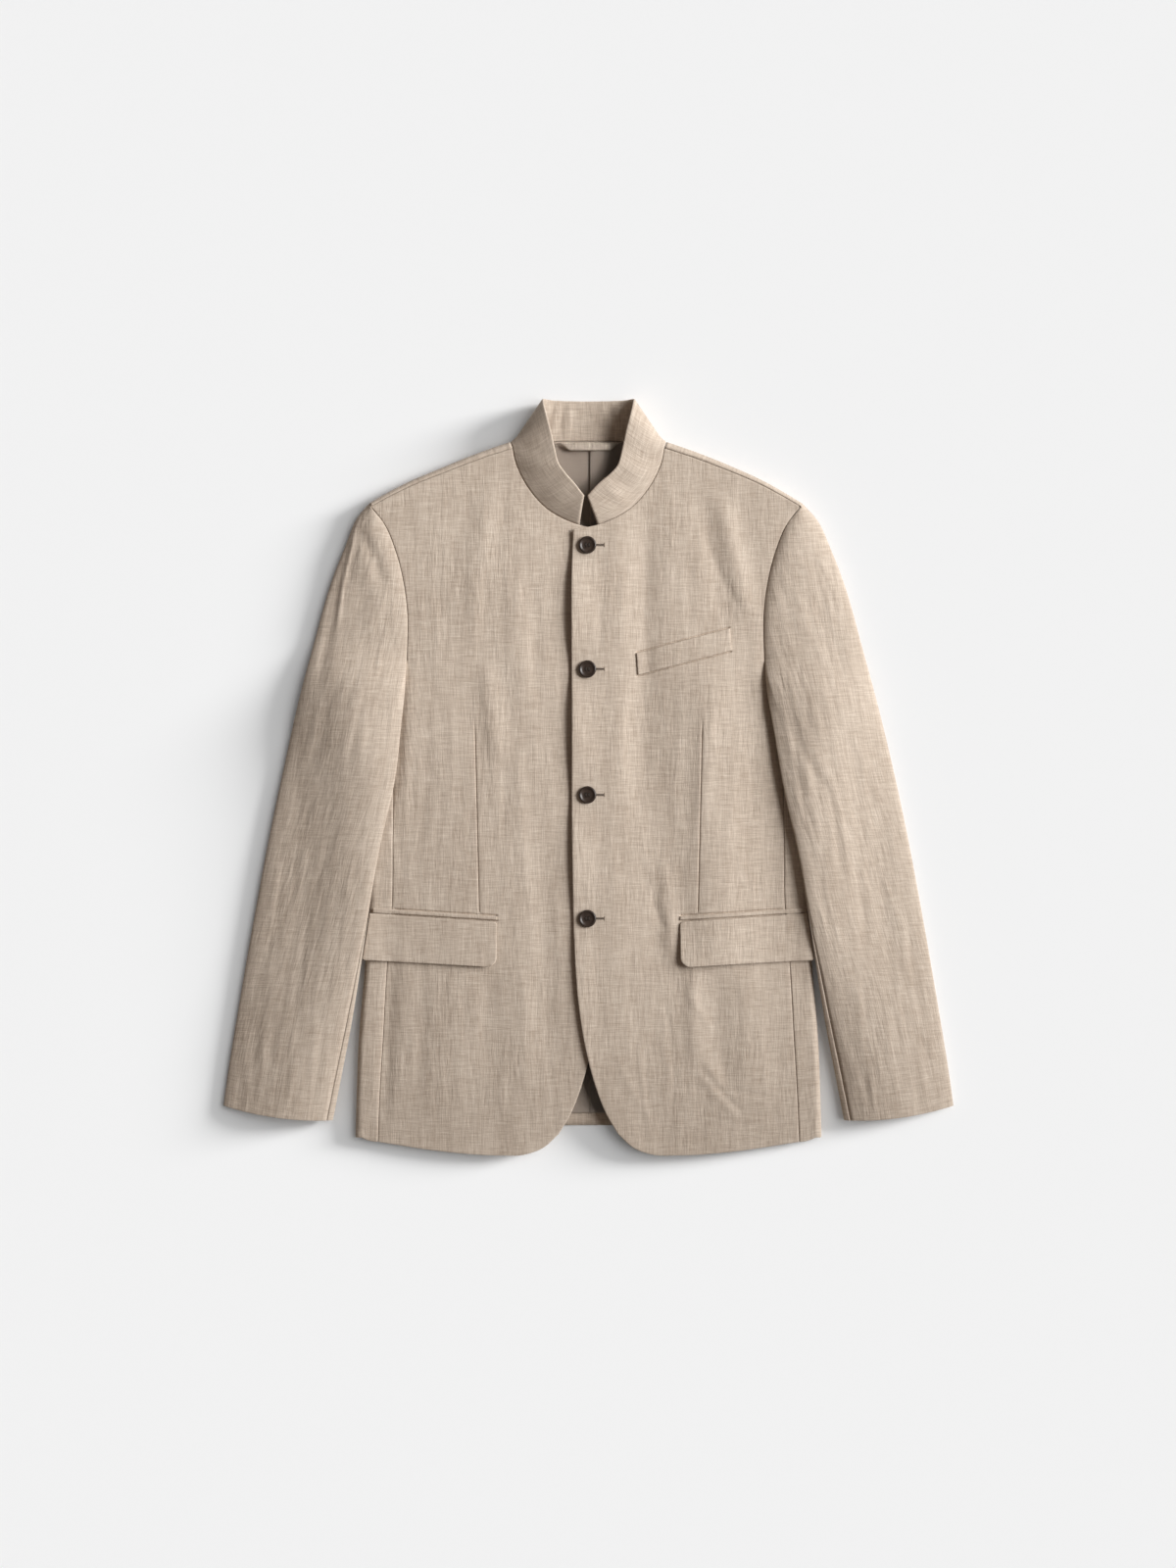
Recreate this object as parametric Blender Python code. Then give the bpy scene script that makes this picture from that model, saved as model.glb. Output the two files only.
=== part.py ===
"""Linen jacket with a stand collar, buttoned and laid out flat with its front up.

Tables and sizes are in millimetres and meshes in metres. X runs across the jacket (+X is the
wearer's left), Y runs from the hem to the collar and Z is up from the surface that it lies on.
In a table, x is counted out from the centre front, so that one table serves both sides.
"""
import math
from collections import namedtuple

import bpy
import numpy as np
from mathutils import Matrix, Vector
from mathutils.bvhtree import BVHTree

MM = 0.001
LEFT, RIGHT = 1, -1

# Cloth walls
FRONT_WALL = 2.0
SIDE_WALL = 1.6
BACK_WALL = 1.4
SLEEVE_WALL = 1.6
COLLAR_WALL = 2.2
FLAP_WALL = 1.6
JET_WALL = 1.2
WELT_WALL = 1.4
LOOP_WALL = 1.2
LINING_WALL = 1.0
SEAM_GAP = 0.3
SLEEVE_SEAM_GAP = 0.8
LAY_GAP = 0.45

# Height of the body as it lies, at its top side
BODY_HEIGHT = 13.0
BODY_RISE = 3.0
SHOULDER_SHARE = 0.35
HEM_SINK = 1.5
SOFT_REACH = 110.0
HEM_REACH = 90.0
SIDE_ROLL = 6.5
LAP_OVER = 2.2
LAP_UNDER = -1.8
LAP_FLAT = 22.0
LAP_FADE = 55.0

# Rows and columns of the panels
SIDE_ROWS = 13
HIDDEN_ARMHOLE_ROWS = 3
ARMHOLE_ROWS = 10
FRONT_COLUMNS = 13
SIDE_STEPS = 3
ROLL_STEPS = 6
BACK_NECK_COLUMNS = 5
LOWER_SLEEVE_ROWS = 13
TOP_SLEEVE_COLUMNS = 17
UNDER_SLEEVE_COLUMNS = 14
BACK_SEAM_DEG = -28.0
SLEEVE_WAIST = 0.45
SLEEVE_UNDER_ROUND = 0.7
SLEEVE_TOP_ROUND = 0.9

Point = namedtuple("Point", "x y")
SideRow = namedtuple("SideRow", "y seam_x edge_x back_x edge_lift back_lift")
Reach = namedtuple("Reach", "y x")
CollarEdge = namedtuple("CollarEdge", "at x y z")
Fold = namedtuple("Fold", "side x0 y0 x1 y1 half_width height")
SleeveFold = namedtuple("SleeveFold", "side across start stop half_width height")
SleeveRow = namedtuple("SleeveRow", "outer_x outer_y inner_x inner_y wrap outer_height "
                                    "inner_height crown rest seam_top seam_under bow")

# Edges of the front panel; x below zero lies past the centre front
FRONT_EDGE = [Point(-15.8, 257.6), Point(-17.5, 213.0), Point(-17.8, 161.0), Point(-17.4, 95.0),
              Point(-16.8, -88.7), Point(-14.8, -172.0), Point(-10.5, -234.5), Point(-2.1, -286.5),
              Point(6.1, -317.7), Point(18.7, -351.0), Point(31.1, -371.9)]
FRONT_HEM = [Point(31.1, -371.9), Point(47.7, -386.4), Point(66.5, -393.1), Point(93.5, -393.9),
             Point(155.0, -389.5), Point(219.5, -380.0)]
NECKLINE = [Point(-15.8, 257.6), Point(8.5, 262.2), Point(26.5, 269.0), Point(43.7, 279.5),
            Point(57.8, 294.0), Point(69.5, 312.0), Point(76.8, 330.0), Point(79.3, 342.3)]
COLLAR_START = 0.187
SHOULDER_EDGE = [Point(81.6, 349.4), Point(110.0, 339.6), Point(148.0, 324.4), Point(182.0, 309.0),
                 Point(209.0, 293.8), Point(223.0, 285.3)]
SHOULDER_ROLL_NECK = 7.4
SHOULDER_ROLL_TIP = 4.2
ARMHOLE = [Point(207.7, 265.5), Point(194.3, 234.3), Point(185.4, 196.9), Point(182.1, 163.5),
           Point(182.3, 142.0), Point(183.1, 121.9)]
UNDERARM = [Point(183.1, 121.9), Point(183.2, 108.0), Point(184.0, 93.0), Point(190.0, 78.0),
            Point(205.0, 58.0)]
BACK_UNDERARM = [Point(183.1, 121.9), Point(183.8, 104.0), Point(186.0, 84.0), Point(190.0, 60.0)]
BACK_NECK = [Point(0.0, 350.2), Point(30.0, 350.0), Point(56.0, 347.6)]
BACK_HEM_Y = -363.0
BACK_HEM_MIDDLE = Point(100.0, -364.0)

# The side panel from the hem to the underarm: front seam, side fold and back seam, and how far the
# hem of the fold and of the back seam lies above that of the front seam
SIDE = [SideRow(-380.0, 219.5, 243.0, 192.0, 4.5, 12.0),
        SideRow(-330.0, 217.3, 241.6, 190.0, 2.5, 7.0),
        SideRow(-270.0, 213.7, 239.2, 186.0, 0.5, 2.0),
        SideRow(-194.0, 209.4, 232.8, 180.0, 0.0, 0.0),
        SideRow(-135.0, 204.6, 229.5, 177.0, 0.0, 0.0),
        SideRow(-70.0, 203.7, 229.0, 177.0, 0.0, 0.0),
        SideRow(-10.0, 203.3, 234.0, 181.0, 0.0, 0.0),
        SideRow(30.0, 203.5, 242.0, 186.0, 0.0, 0.0),
        SideRow(58.0, 205.0, 250.0, 190.0, 0.0, 2.0)]

# How far out the top side has come down to its edge height, above the underarm
ARM_REACH = [Reach(58.0, 243.5), Reach(122.0, 215.0), Reach(165.0, 205.0), Reach(200.0, 206.0),
             Reach(235.0, 214.0), Reach(265.0, 228.0), Reach(295.0, 245.0)]

# The largest folds of the fronts, as ridges (or troughs, below zero) along a line
FRONT_FOLDS = [Fold(LEFT, 137.0, 278.0, 158.0, 176.0, 11.0, -1.6),
               Fold(LEFT, 160.0, 268.0, 171.0, 185.0, 10.0, 1.2),
               Fold(LEFT, 61.0, 95.0, 66.0, -10.0, 12.0, -1.1),
               Fold(LEFT, 137.0, 95.0, 126.0, -10.0, 11.0, -1.0),
               Fold(LEFT, 66.0, -150.0, 92.0, -330.0, 12.0, -1.1),
               Fold(LEFT, 122.0, -300.0, 150.0, -350.0, 11.0, 1.0),
               Fold(RIGHT, 113.0, 105.0, 101.0, 40.0, 11.0, -1.3),
               Fold(RIGHT, 85.0, 220.0, 78.0, 60.0, 12.0, 0.8),
               Fold(RIGHT, 50.0, -60.0, 42.0, -300.0, 12.0, -0.9)]
FOLD_END = 3.0

# Sections of a sleeve from the shoulder to the cuff: outer and inner edge, how far the cloth wraps
# round the inner edge, heights of both edges, rise of the crown, what the inner edge rests on, where
# the forearm seam runs on both sleeve panels and how far the cuff bows
SLEEVE = [SleeveRow(222.9, 285.1, 221.3, 281.4, 90.0, 14.0, 14.0, 0.0, 0.0, 90.0, 270.0, 0.0),
          SleeveRow(238.0, 269.0, 207.7, 265.5, 90.0, 14.5, 13.4, 3.5, 0.0, 90.0, 270.0, 0.0),
          SleeveRow(253.5, 236.0, 194.3, 234.3, 90.0, 15.0, 13.4, 7.0, 0.0, 90.0, 270.0, 0.0),
          SleeveRow(267.3, 200.0, 185.4, 196.9, 90.0, 15.5, 13.4, 9.5, 0.0, 90.0, 270.0, 0.0),
          SleeveRow(277.5, 165.5, 182.1, 163.5, 90.0, 16.0, 13.4, 11.0, 0.0, 90.0, 270.0, 0.0),
          SleeveRow(283.3, 143.5, 182.3, 142.0, 92.0, 16.0, 13.4, 10.5, 0.0, 92.0, 268.0, 0.0),
          SleeveRow(288.5, 124.0, 183.1, 121.9, 96.0, 16.0, 8.0, 8.5, 5.5, 96.0, 264.0, 0.0),
          SleeveRow(296.3, 95.0, 185.9, 93.0, 180.0, 16.0, 9.5, 4.5, 16.2, 180.0, 180.0, 0.0),
          SleeveRow(309.2, 45.0, 193.2, 42.8, 180.0, 16.0, 11.5, 3.5, 16.2, 184.0, 184.0, 0.0),
          SleeveRow(324.0, -19.0, 204.2, -20.4, 180.0, 15.5, 12.0, 4.0, 16.0, 184.0, 184.0, 0.0),
          SleeveRow(334.8, -71.5, 216.2, -71.5, 180.0, 15.0, 12.5, 4.5, 16.0, 180.0, 180.0, 0.0),
          SleeveRow(348.3, -144.0, 228.5, -143.0, 180.0, 14.5, 12.0, 4.5, 17.5, 173.0, 173.0, 0.0),
          SleeveRow(357.7, -197.5, 236.4, -194.5, 180.0, 14.0, 12.0, 5.0, 13.5, 162.0, 162.0, 0.0),
          SleeveRow(368.6, -262.0, 247.2, -260.0, 180.0, 13.5, 12.5, 5.0, 4.0, 150.0, 150.0, 0.5),
          SleeveRow(375.7, -306.0, 258.0, -315.0, 180.0, 12.5, 12.5, 4.0, 0.0, 147.0, 147.0, 2.5),
          SleeveRow(380.8, -342.6, 266.3, -357.4, 180.0, 12.0, 12.0, 3.0, 0.0, 145.0, 145.0, 4.5)]
SLEEVE_DROP = 48.0
SLEEVE_FOLDS = [SleeveFold(RIGHT, 0.45, 0.45, 0.90, 0.07, -1.2),
                SleeveFold(RIGHT, 0.62, 0.30, 0.75, 0.08, 1.0),
                SleeveFold(LEFT, 0.40, 0.40, 0.95, 0.08, -1.2),
                SleeveFold(LEFT, 0.70, 0.25, 0.60, 0.07, 0.9)]

# Free edge of the collar from its front end (0) to the centre back (1)
COLLAR_EDGE = [CollarEdge(0.0, 1.5, 292.0, 33.0), CollarEdge(0.10, 12.0, 304.5, 34.0),
               CollarEdge(0.22, 24.0, 316.0, 34.5), CollarEdge(0.33, 31.5, 327.0, 34.5),
               CollarEdge(0.42, 35.0, 341.0, 34.0), CollarEdge(0.50, 39.5, 361.0, 33.0),
               CollarEdge(0.57, 44.0, 377.0, 30.0), CollarEdge(0.62, 47.2, 389.6, 24.0),
               CollarEdge(0.66, 47.8, 393.75, 16.0), CollarEdge(0.70, 46.0, 394.25, 9.0),
               CollarEdge(0.77, 39.0, 393.1, 4.0), CollarEdge(0.87, 24.0, 391.0, 1.5),
               CollarEdge(1.0, 0.0, 389.7, 1.0)]
COLLAR_TIP_SHIFT = -3.0
COLLAR_FRONT_STEPS = 6
COLLAR_SIDE_STEPS = 4
COLLAR_BACK_STEPS = 5
COLLAR_COLUMNS = 5
COLLAR_BOW = 1.6
COLLAR_STAND = 30.0
COLLAR_TIP_SHARE = 0.3

# Pockets, on the front and side panels
FLAP_TOP_INNER, FLAP_TOP_OUTER = Point(95.2, -149.9), Point(227.5, -141.6)
FLAP_BOTTOM_INNER, FLAP_BOTTOM_OUTER = Point(95.6, -197.6), Point(231.0, -190.2)
FLAP_CORNER = 10.0
FLAP_CORNER_STEPS = (0.0, 0.12, 0.4, 1.0)
FLAP_COLUMNS = 8
FLAP_ROWS = 6
FLAP_LIFT = 2.0
FLAP_CURL = 1.5
FLAP_END_LIFT = 1.2
FLAP_END_SHARE = 0.14
JET_WIDTH = 5.0
JET_SHARE = 0.955
JET_COLUMNS = 13
WELT_TOP_INNER, WELT_TOP_OUTER = Point(49.9, 129.5), Point(147.1, 155.3)
WELT_BOTTOM_INNER, WELT_BOTTOM_OUTER = Point(51.5, 105.9), Point(148.9, 131.4)
WELT_COLUMNS = 9
WELT_ROWS = 4

# Inside the neck
LINING_HEM_Y = -350.0
LINING_EDGE = [Reach(-350.0, 150.0), Reach(0.0, 150.0), Reach(200.0, 140.0), Reach(300.0, 95.0),
               Reach(350.0, 72.0)]
LINING_NECK_GAP = 1.0
LINING_ROWS = 12
LINING_COLUMNS = (0.0, 0.08, 0.2, 0.45, 0.7, 1.0)
PLEAT_X = 1.5
PLEAT_LAP = 11.0
PLEAT_LIFT = 1.3
PLEAT_FLAT = 15.0
PLEAT_FADE = 26.0
LOOP_TOP_Y, LOOP_BOTTOM_Y = 348.6, 340.4
LOOP_TOP_HALF, LOOP_BOTTOM_HALF = 30.3, 21.5
LOOP_ARCH = 1.4
LOOP_COLUMNS = 9
LOOP_ROWS = 3

# Buttons
BUTTON_X = -1.1
BUTTON_Y = [241.4, 112.4, -18.4, -146.9]
BUTTON_SEGMENTS = 24
BUTTON_PROFILE = [Point(7.6, 0.0), Point(8.8, 0.8), Point(9.1, 2.0), Point(8.5, 3.1), Point(7.3, 3.2),
                  Point(5.9, 2.3)]
BUTTON_DISH = 2.1
HOLE_OFFSET = 1.5
HOLE_RADIUS = 0.95
HOLE_SEGMENTS = 10
HOLE_ENDS = (-1.0, 5.0)


def soft(value):
    """Smooth step from 0 to 1."""
    value = np.clip(value, 0.0, 1.0)
    return value * value * (3.0 - 2.0 * value)


def blend(knots, rows, at):
    """Smooth values of a table's rows at any place along its knots."""
    knots, rows, at = np.asarray(knots, float), np.asarray(rows, float), np.atleast_1d(at)
    step = np.diff(knots)
    slope = np.diff(rows, axis=0) / step[:, None]
    tangent = np.vstack([slope[:1], (slope[:-1] * step[1:, None] + slope[1:] * step[:-1, None])
                         / (step[:-1] + step[1:])[:, None], slope[-1:]])
    index = np.clip(np.searchsorted(knots, at, side="right") - 1, 0, len(step) - 1)
    width = step[index][:, None]
    part = ((at - knots[index]) / step[index])[:, None]
    low = rows[index] + part * width * tangent[index]
    change = 3.0 * slope[index] - 2.0 * tangent[index] - tangent[index + 1]
    turn = tangent[index] + tangent[index + 1] - 2.0 * slope[index]
    return low + part ** 2 * width * change + part ** 3 * width * turn


def lengths(points):
    """Distance along a line of points."""
    return np.concatenate([[0.0], np.cumsum(np.linalg.norm(np.diff(points, axis=0), axis=1))])


def along(points, fractions):
    """Points on a smooth curve, at fractions of its length."""
    points = np.asarray(points, float)
    knots = lengths(points)
    fine = blend(knots, points, np.linspace(0.0, knots[-1], 40 * len(points)))
    run = lengths(fine)
    places = np.asarray(fractions) * run[-1]
    return np.column_stack([np.interp(places, run, column) for column in fine.T])


def even(points, count):
    """A number of points evenly along a smooth curve."""
    return along(points, np.linspace(0.0, 1.0, count))


def coons(left, right, bottom, top):
    """Points inside four edges: rows go from bottom to top and columns from left to right."""
    up = np.linspace(0.0, 1.0, len(left))[:, None, None]
    over = np.linspace(0.0, 1.0, len(bottom))[None, :, None]
    between_ends = (1 - up) * bottom[None] + up * top[None]
    between_sides = (1 - over) * left[:, None] + over * right[:, None]
    corners = ((1 - up) * ((1 - over) * bottom[0] + over * bottom[-1])
               + up * ((1 - over) * top[0] + over * top[-1]))
    return between_ends + between_sides - corners


def normals_of(grid, row, column, facing):
    """Unit normals of a grid, turned so that the one at (row, column) looks towards facing."""
    normal = np.cross(np.gradient(grid, axis=1), np.gradient(grid, axis=0))
    normal /= np.linalg.norm(normal, axis=2, keepdims=True)
    return normal if np.dot(normal[row, column], facing) > 0 else -normal


def unit(vectors):
    """Vectors of length one."""
    return vectors / np.linalg.norm(vectors, axis=-1, keepdims=True)


def mirrored(grid, side):
    """The grid of one side of the body, from x counted out from the centre."""
    return grid * np.array([side, 1.0, 1.0])


def material(name, colour, roughness):
    """A plain surface."""
    made = bpy.data.materials.new(name)
    made.use_nodes = True
    shader = made.node_tree.nodes["Principled BSDF"]
    shader.inputs["Base Color"].default_value = (*colour, 1.0)
    shader.inputs["Roughness"].default_value = roughness
    shader.inputs["Metallic"].default_value = 0.0
    return made


def add_object(name, points, faces, surface):
    """A mesh object, from points in millimetres."""
    mesh = bpy.data.meshes.new(name)
    mesh.from_pydata([tuple(point * MM) for point in np.asarray(points, float)], [], faces)
    mesh.validate()
    mesh.materials.append(surface)
    made = bpy.data.objects.new(name, mesh)
    bpy.context.scene.collection.objects.link(made)
    for polygon in mesh.polygons:
        polygon.use_smooth = True
    return made


def wall(name, patches, thickness, surface):
    """A cloth wall: outer patches joined where they meet, an inner copy and the cut edges."""
    place, points, normals, faces = {}, [], [], []
    for grid, normal in patches:
        rows, columns = grid.shape[:2]
        ids = np.zeros((rows, columns), int)
        for row in range(rows):
            for column in range(columns):
                key = tuple(np.round(grid[row, column], 3))
                if key not in place:
                    place[key] = len(points)
                    points.append(grid[row, column])
                    normals.append(np.zeros(3))
                ids[row, column] = place[key]
                normals[place[key]] = normals[place[key]] + normal[row, column]
        r, c = (rows - 1) // 2, (columns - 1) // 2
        across = np.cross(grid[r + 1, c + 1] - grid[r, c], grid[r + 1, c] - grid[r, c + 1])
        outward = np.dot(across, normal[r, c]) > 0
        for row in range(rows - 1):
            for column in range(columns - 1):
                face = [ids[row, column], ids[row, column + 1],
                        ids[row + 1, column + 1], ids[row + 1, column]]
                faces.append(face if outward else face[::-1])
    count = len(points)
    points = np.array(points)
    inner = points - thickness * unit(np.array(normals))
    edges = {(face[k], face[(k + 1) % 4]) for face in faces for k in range(4)}
    rims = [[b, a, a + count, b + count] for a, b in edges if (b, a) not in edges]
    inside = [[corner + count for corner in face[::-1]] for face in faces]
    return add_object(name, np.vstack([points, inner]), faces + inside + rims, surface)


def trimmed(grid, column, gap):
    """A grid with one end column drawn back from a seam."""
    neighbour = column + 1 if column == 0 else column - 1
    grid = grid.copy()
    step = grid[:, neighbour] - grid[:, column]
    grid[:, column] += step * (gap / np.linalg.norm(step, axis=1))[:, None]
    return grid


def shoulder_lines():
    """Shoulder seam points, their outward directions and the depth of the roll, neck to tip."""
    edge = even(SHOULDER_EDGE, FRONT_COLUMNS)
    run = unit(np.gradient(edge, axis=0))
    out = np.column_stack([-run[:, 1], run[:, 0]])
    depth = np.linspace(SHOULDER_ROLL_NECK, SHOULDER_ROLL_TIP, FRONT_COLUMNS)
    return edge - out * depth[:, None], out, depth


def side_rows(count):
    """Side panel sizes at even steps from the hem to the underarm."""
    table = np.array(SIDE)
    return blend(table[:, 0], table, np.linspace(table[0, 0], table[-1, 0], count))


def reach_at(y):
    """How far out the top side has come down to its edge height."""
    low = [(row.y, row.edge_x - SIDE_ROLL) for row in SIDE[:-1]]
    table = np.array(low + [(row.y, row.x) for row in ARM_REACH])
    return np.interp(y, table[:, 0], table[:, 1])


def fold_height(folds, side, x, y):
    """Ridges and troughs along lines, fading out at their ends."""
    height = np.zeros(np.shape(x))
    for fold in folds:
        if fold.side != side:
            continue
        line = np.array([fold.x1 - fold.x0, fold.y1 - fold.y0])
        part = ((x - fold.x0) * line[0] + (y - fold.y0) * line[1]) / np.dot(line, line)
        off = ((x - fold.x0) * line[1] - (y - fold.y0) * line[0]) / np.linalg.norm(line)
        fade = soft(part * FOLD_END + 0.5) * soft((1.0 - part) * FOLD_END + 0.5)
        height = height + fold.height * fade * np.exp(-(off / fold.half_width) ** 2)
    return height


def body_top(x, y, side):
    """Height of the body's top side, without the lap."""
    edge = np.array(SHOULDER_EDGE)
    below = soft((np.interp(x, edge[:, 0], edge[:, 1]) - y) / SOFT_REACH)
    shoulder = SHOULDER_SHARE + (1.0 - SHOULDER_SHARE) * below
    rise = soft((reach_at(y) - x) / SOFT_REACH) * shoulder
    sink = 1.0 - soft((y - FRONT_HEM[3].y) / HEM_REACH)
    return BODY_HEIGHT + BODY_RISE * rise - HEM_SINK * sink + fold_height(FRONT_FOLDS, side, x, y)


def front_top(x, y, side):
    """Height of a front's top side, with the lap at the centre."""
    lap = LAP_OVER if side == LEFT else LAP_UNDER
    return body_top(x, y, side) + lap * (1.0 - soft((np.abs(x) - LAP_FLAT) / LAP_FADE))


def armhole_points(gap):
    """The armhole seam from the shoulder tip to where it goes under, moved out by a gap."""
    tip = shoulder_lines()[0][-1]
    seam = even(np.vstack([tip, np.array(ARMHOLE)]), ARMHOLE_ROWS + 1)
    run = unit(np.gradient(seam, axis=0))
    return seam + gap * np.column_stack([-run[:, 1], run[:, 0]])


def neck_points():
    """The neck seam of a front, from the collar's front end to the shoulder."""
    curve = NECKLINE[:-1] + [Point(*shoulder_lines()[0][0])]
    return along(curve, np.linspace(COLLAR_START, 1.0, COLLAR_FRONT_STEPS + 1))


def raised(flat, side):
    """A flat grid of a front, with its heights."""
    return np.dstack([flat, front_top(flat[..., 0], flat[..., 1], side)])


def front_flat():
    """The front panel seen from above, as rows from hem to shoulder."""
    rows = side_rows(SIDE_ROWS)
    hidden = even(UNDERARM, HIDDEN_ARMHOLE_ROWS + 1)[::-1]
    right = np.vstack([rows[:, [1, 0]], hidden[1:-1], armhole_points(0.0)[::-1]])
    edge = even(FRONT_EDGE[::-1], 200)
    split = np.interp(SIDE[-1].y, edge[:, 1], lengths(edge) / lengths(edge)[-1])
    low = along(FRONT_EDGE[::-1], np.linspace(0.0, split, SIDE_ROWS))
    neck = neck_points()
    count = len(right) - SIDE_ROWS - len(neck)
    high = along(FRONT_EDGE[::-1], np.linspace(split, 1.0, count + 1))
    left = np.vstack([low, high[1:], neck])
    return coons(left, right, even(FRONT_HEM, FRONT_COLUMNS), shoulder_lines()[0])


def side_grid(side):
    """The side panel: from the front seam round the side fold to the back seam."""
    grid = []
    for y, seam_x, edge_x, back_x, edge_lift, back_lift in side_rows(SIDE_ROWS):
        turn = edge_x - SIDE_ROLL
        top_x = np.linspace(seam_x, turn, SIDE_STEPS + 1)
        top_y = y + edge_lift * np.linspace(0.0, 1.0, SIDE_STEPS + 1) ** 2
        top_z = body_top(top_x, top_y, side)
        angle = np.linspace(0.0, math.pi, ROLL_STEPS + 1)[1:]
        roll_x = turn + SIDE_ROLL * np.sin(angle)
        roll_y = np.full(ROLL_STEPS, y + edge_lift)
        roll_z = top_z[-1] * 0.5 * (1.0 + np.cos(angle))
        floor_x = np.linspace(turn, back_x, SIDE_STEPS + 1)[1:]
        floor_y = y + np.linspace(edge_lift, back_lift, SIDE_STEPS + 1)[1:]
        grid.append(np.column_stack([np.concatenate([top_x, roll_x, floor_x]),
                                     np.concatenate([top_y, roll_y, floor_y]),
                                     np.concatenate([top_z, roll_z, np.zeros(SIDE_STEPS)])]))
    return np.array(grid)


def back_half():
    """Half of the back: the flat part and the roll that comes over the shoulder."""
    rows = side_rows(SIDE_ROWS)
    under = even(BACK_UNDERARM, HIDDEN_ARMHOLE_ROWS + 1)[::-1]
    low = np.column_stack([rows[:, 3] - SEAM_GAP, rows[:, 0] + rows[:, 5]])
    right = np.vstack([low, under[1:-1], armhole_points(0.0)[::-1]])
    seam, out, depth = shoulder_lines()
    neck = even(BACK_NECK + [Point(*seam[0])], BACK_NECK_COLUMNS + 1)
    top = np.vstack([neck[:-1], seam])
    left = np.column_stack([np.zeros(len(right)), np.linspace(BACK_HEM_Y, BACK_NECK[0].y, len(right))])
    bottom = even([Point(0.0, BACK_HEM_Y), BACK_HEM_MIDDLE, Point(*low[0])], len(top))
    flat = coons(left, right, bottom, top)
    flat = np.dstack([flat, np.zeros(flat.shape[:2])])
    height = body_top(seam[:, 0], seam[:, 1], 0)
    angle = np.linspace(0.0, math.pi, ROLL_STEPS + 1)[:, None]
    out_x, out_y = np.sin(angle) * out[:, 0], np.sin(angle) * out[:, 1]
    roll = np.dstack([seam[:, 0] + out_x * depth, seam[:, 1] + out_y * depth,
                      height * 0.5 * (1.0 - np.cos(angle))])
    facing = np.dstack([out_x, out_y, -np.cos(angle) + 0.0 * depth])
    return flat, roll, unit(facing)


def sleeve_rows(side):
    """Sleeve sections from the shoulder to the cuff, the first ones on the armhole seam."""
    table = np.array(SLEEVE)
    tip = shoulder_lines()
    table[0, 2:4] = tip[0][-1]
    table[0, 0:2] = tip[0][-1] + tip[1][-1] * tip[2][-1]
    knots = lengths(table[:, 2:4])
    seam = armhole_points(SEAM_GAP)
    meet = lengths(seam)
    last = len(ARMHOLE)
    lower = np.linspace(knots[last], knots[-1], LOWER_SLEEVE_ROWS + 1)[1:]
    rows = blend(knots, table, np.concatenate([meet * knots[last] / meet[-1], lower]))
    rows[:, 8] = np.maximum(rows[:, 8], 0.0)
    rows[:len(seam), 2:4] = seam
    rows[0, 0:2] = seam[0] + tip[1][-1] * tip[2][-1]
    height = front_top(seam[:, 0], seam[:, 1], side)
    rows[:len(seam), 6] = height - rows[:len(seam), 8]
    rows[0, 5] = height[0]
    rows[len(seam):, 4] = 180.0
    rows[len(seam):, 9:11] = rows[len(seam):, 9:11].mean(axis=1, keepdims=True)
    return rows


def sleeve_point(row, angle, side, station):
    """A point of a sleeve section; the angle runs from the outer edge over the top and under."""
    outer_x, outer_y, inner_x, inner_y, wrap, outer_height, inner_height, crown, rest, _, _, bow = row
    on_top = angle <= 180.0
    turn = math.radians(angle if on_top else 360.0 - angle)
    across = (1.0 - math.cos(turn)) / (1.0 - math.cos(math.radians(wrap)))
    across = min(across, 1.0)
    x = outer_x + (inner_x - outer_x) * across
    y = outer_y + (inner_y - outer_y) * across - bow * 4.0 * across * (1.0 - across)
    table = np.array(SIDE)
    edge_x = np.interp(y, table[:, 0], table[:, 2])
    base = rest * float(soft((edge_x + SLEEVE_DROP - x) / SLEEVE_DROP))
    height = outer_height + (inner_height - outer_height) * across
    lift = abs(math.sin(turn))
    if not on_top or angle < 0.0:
        return [x, y, base + height * SLEEVE_WAIST * (1.0 - lift ** SLEEVE_UNDER_ROUND)]
    swell = crown * math.sin(math.pi * across)
    for fold in SLEEVE_FOLDS:
        if fold.side == side:
            middle, half = (fold.start + fold.stop) / 2.0, (fold.stop - fold.start) / 2.0
            fade = float(soft(2.0 - 2.0 * abs(station - middle) / half))
            swell += fold.height * fade * math.exp(-((across - fold.across) / fold.half_width) ** 2)
    return [x, y, base + height * (SLEEVE_WAIST + (1.0 - SLEEVE_WAIST) * lift ** SLEEVE_TOP_ROUND) + swell]


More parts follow.
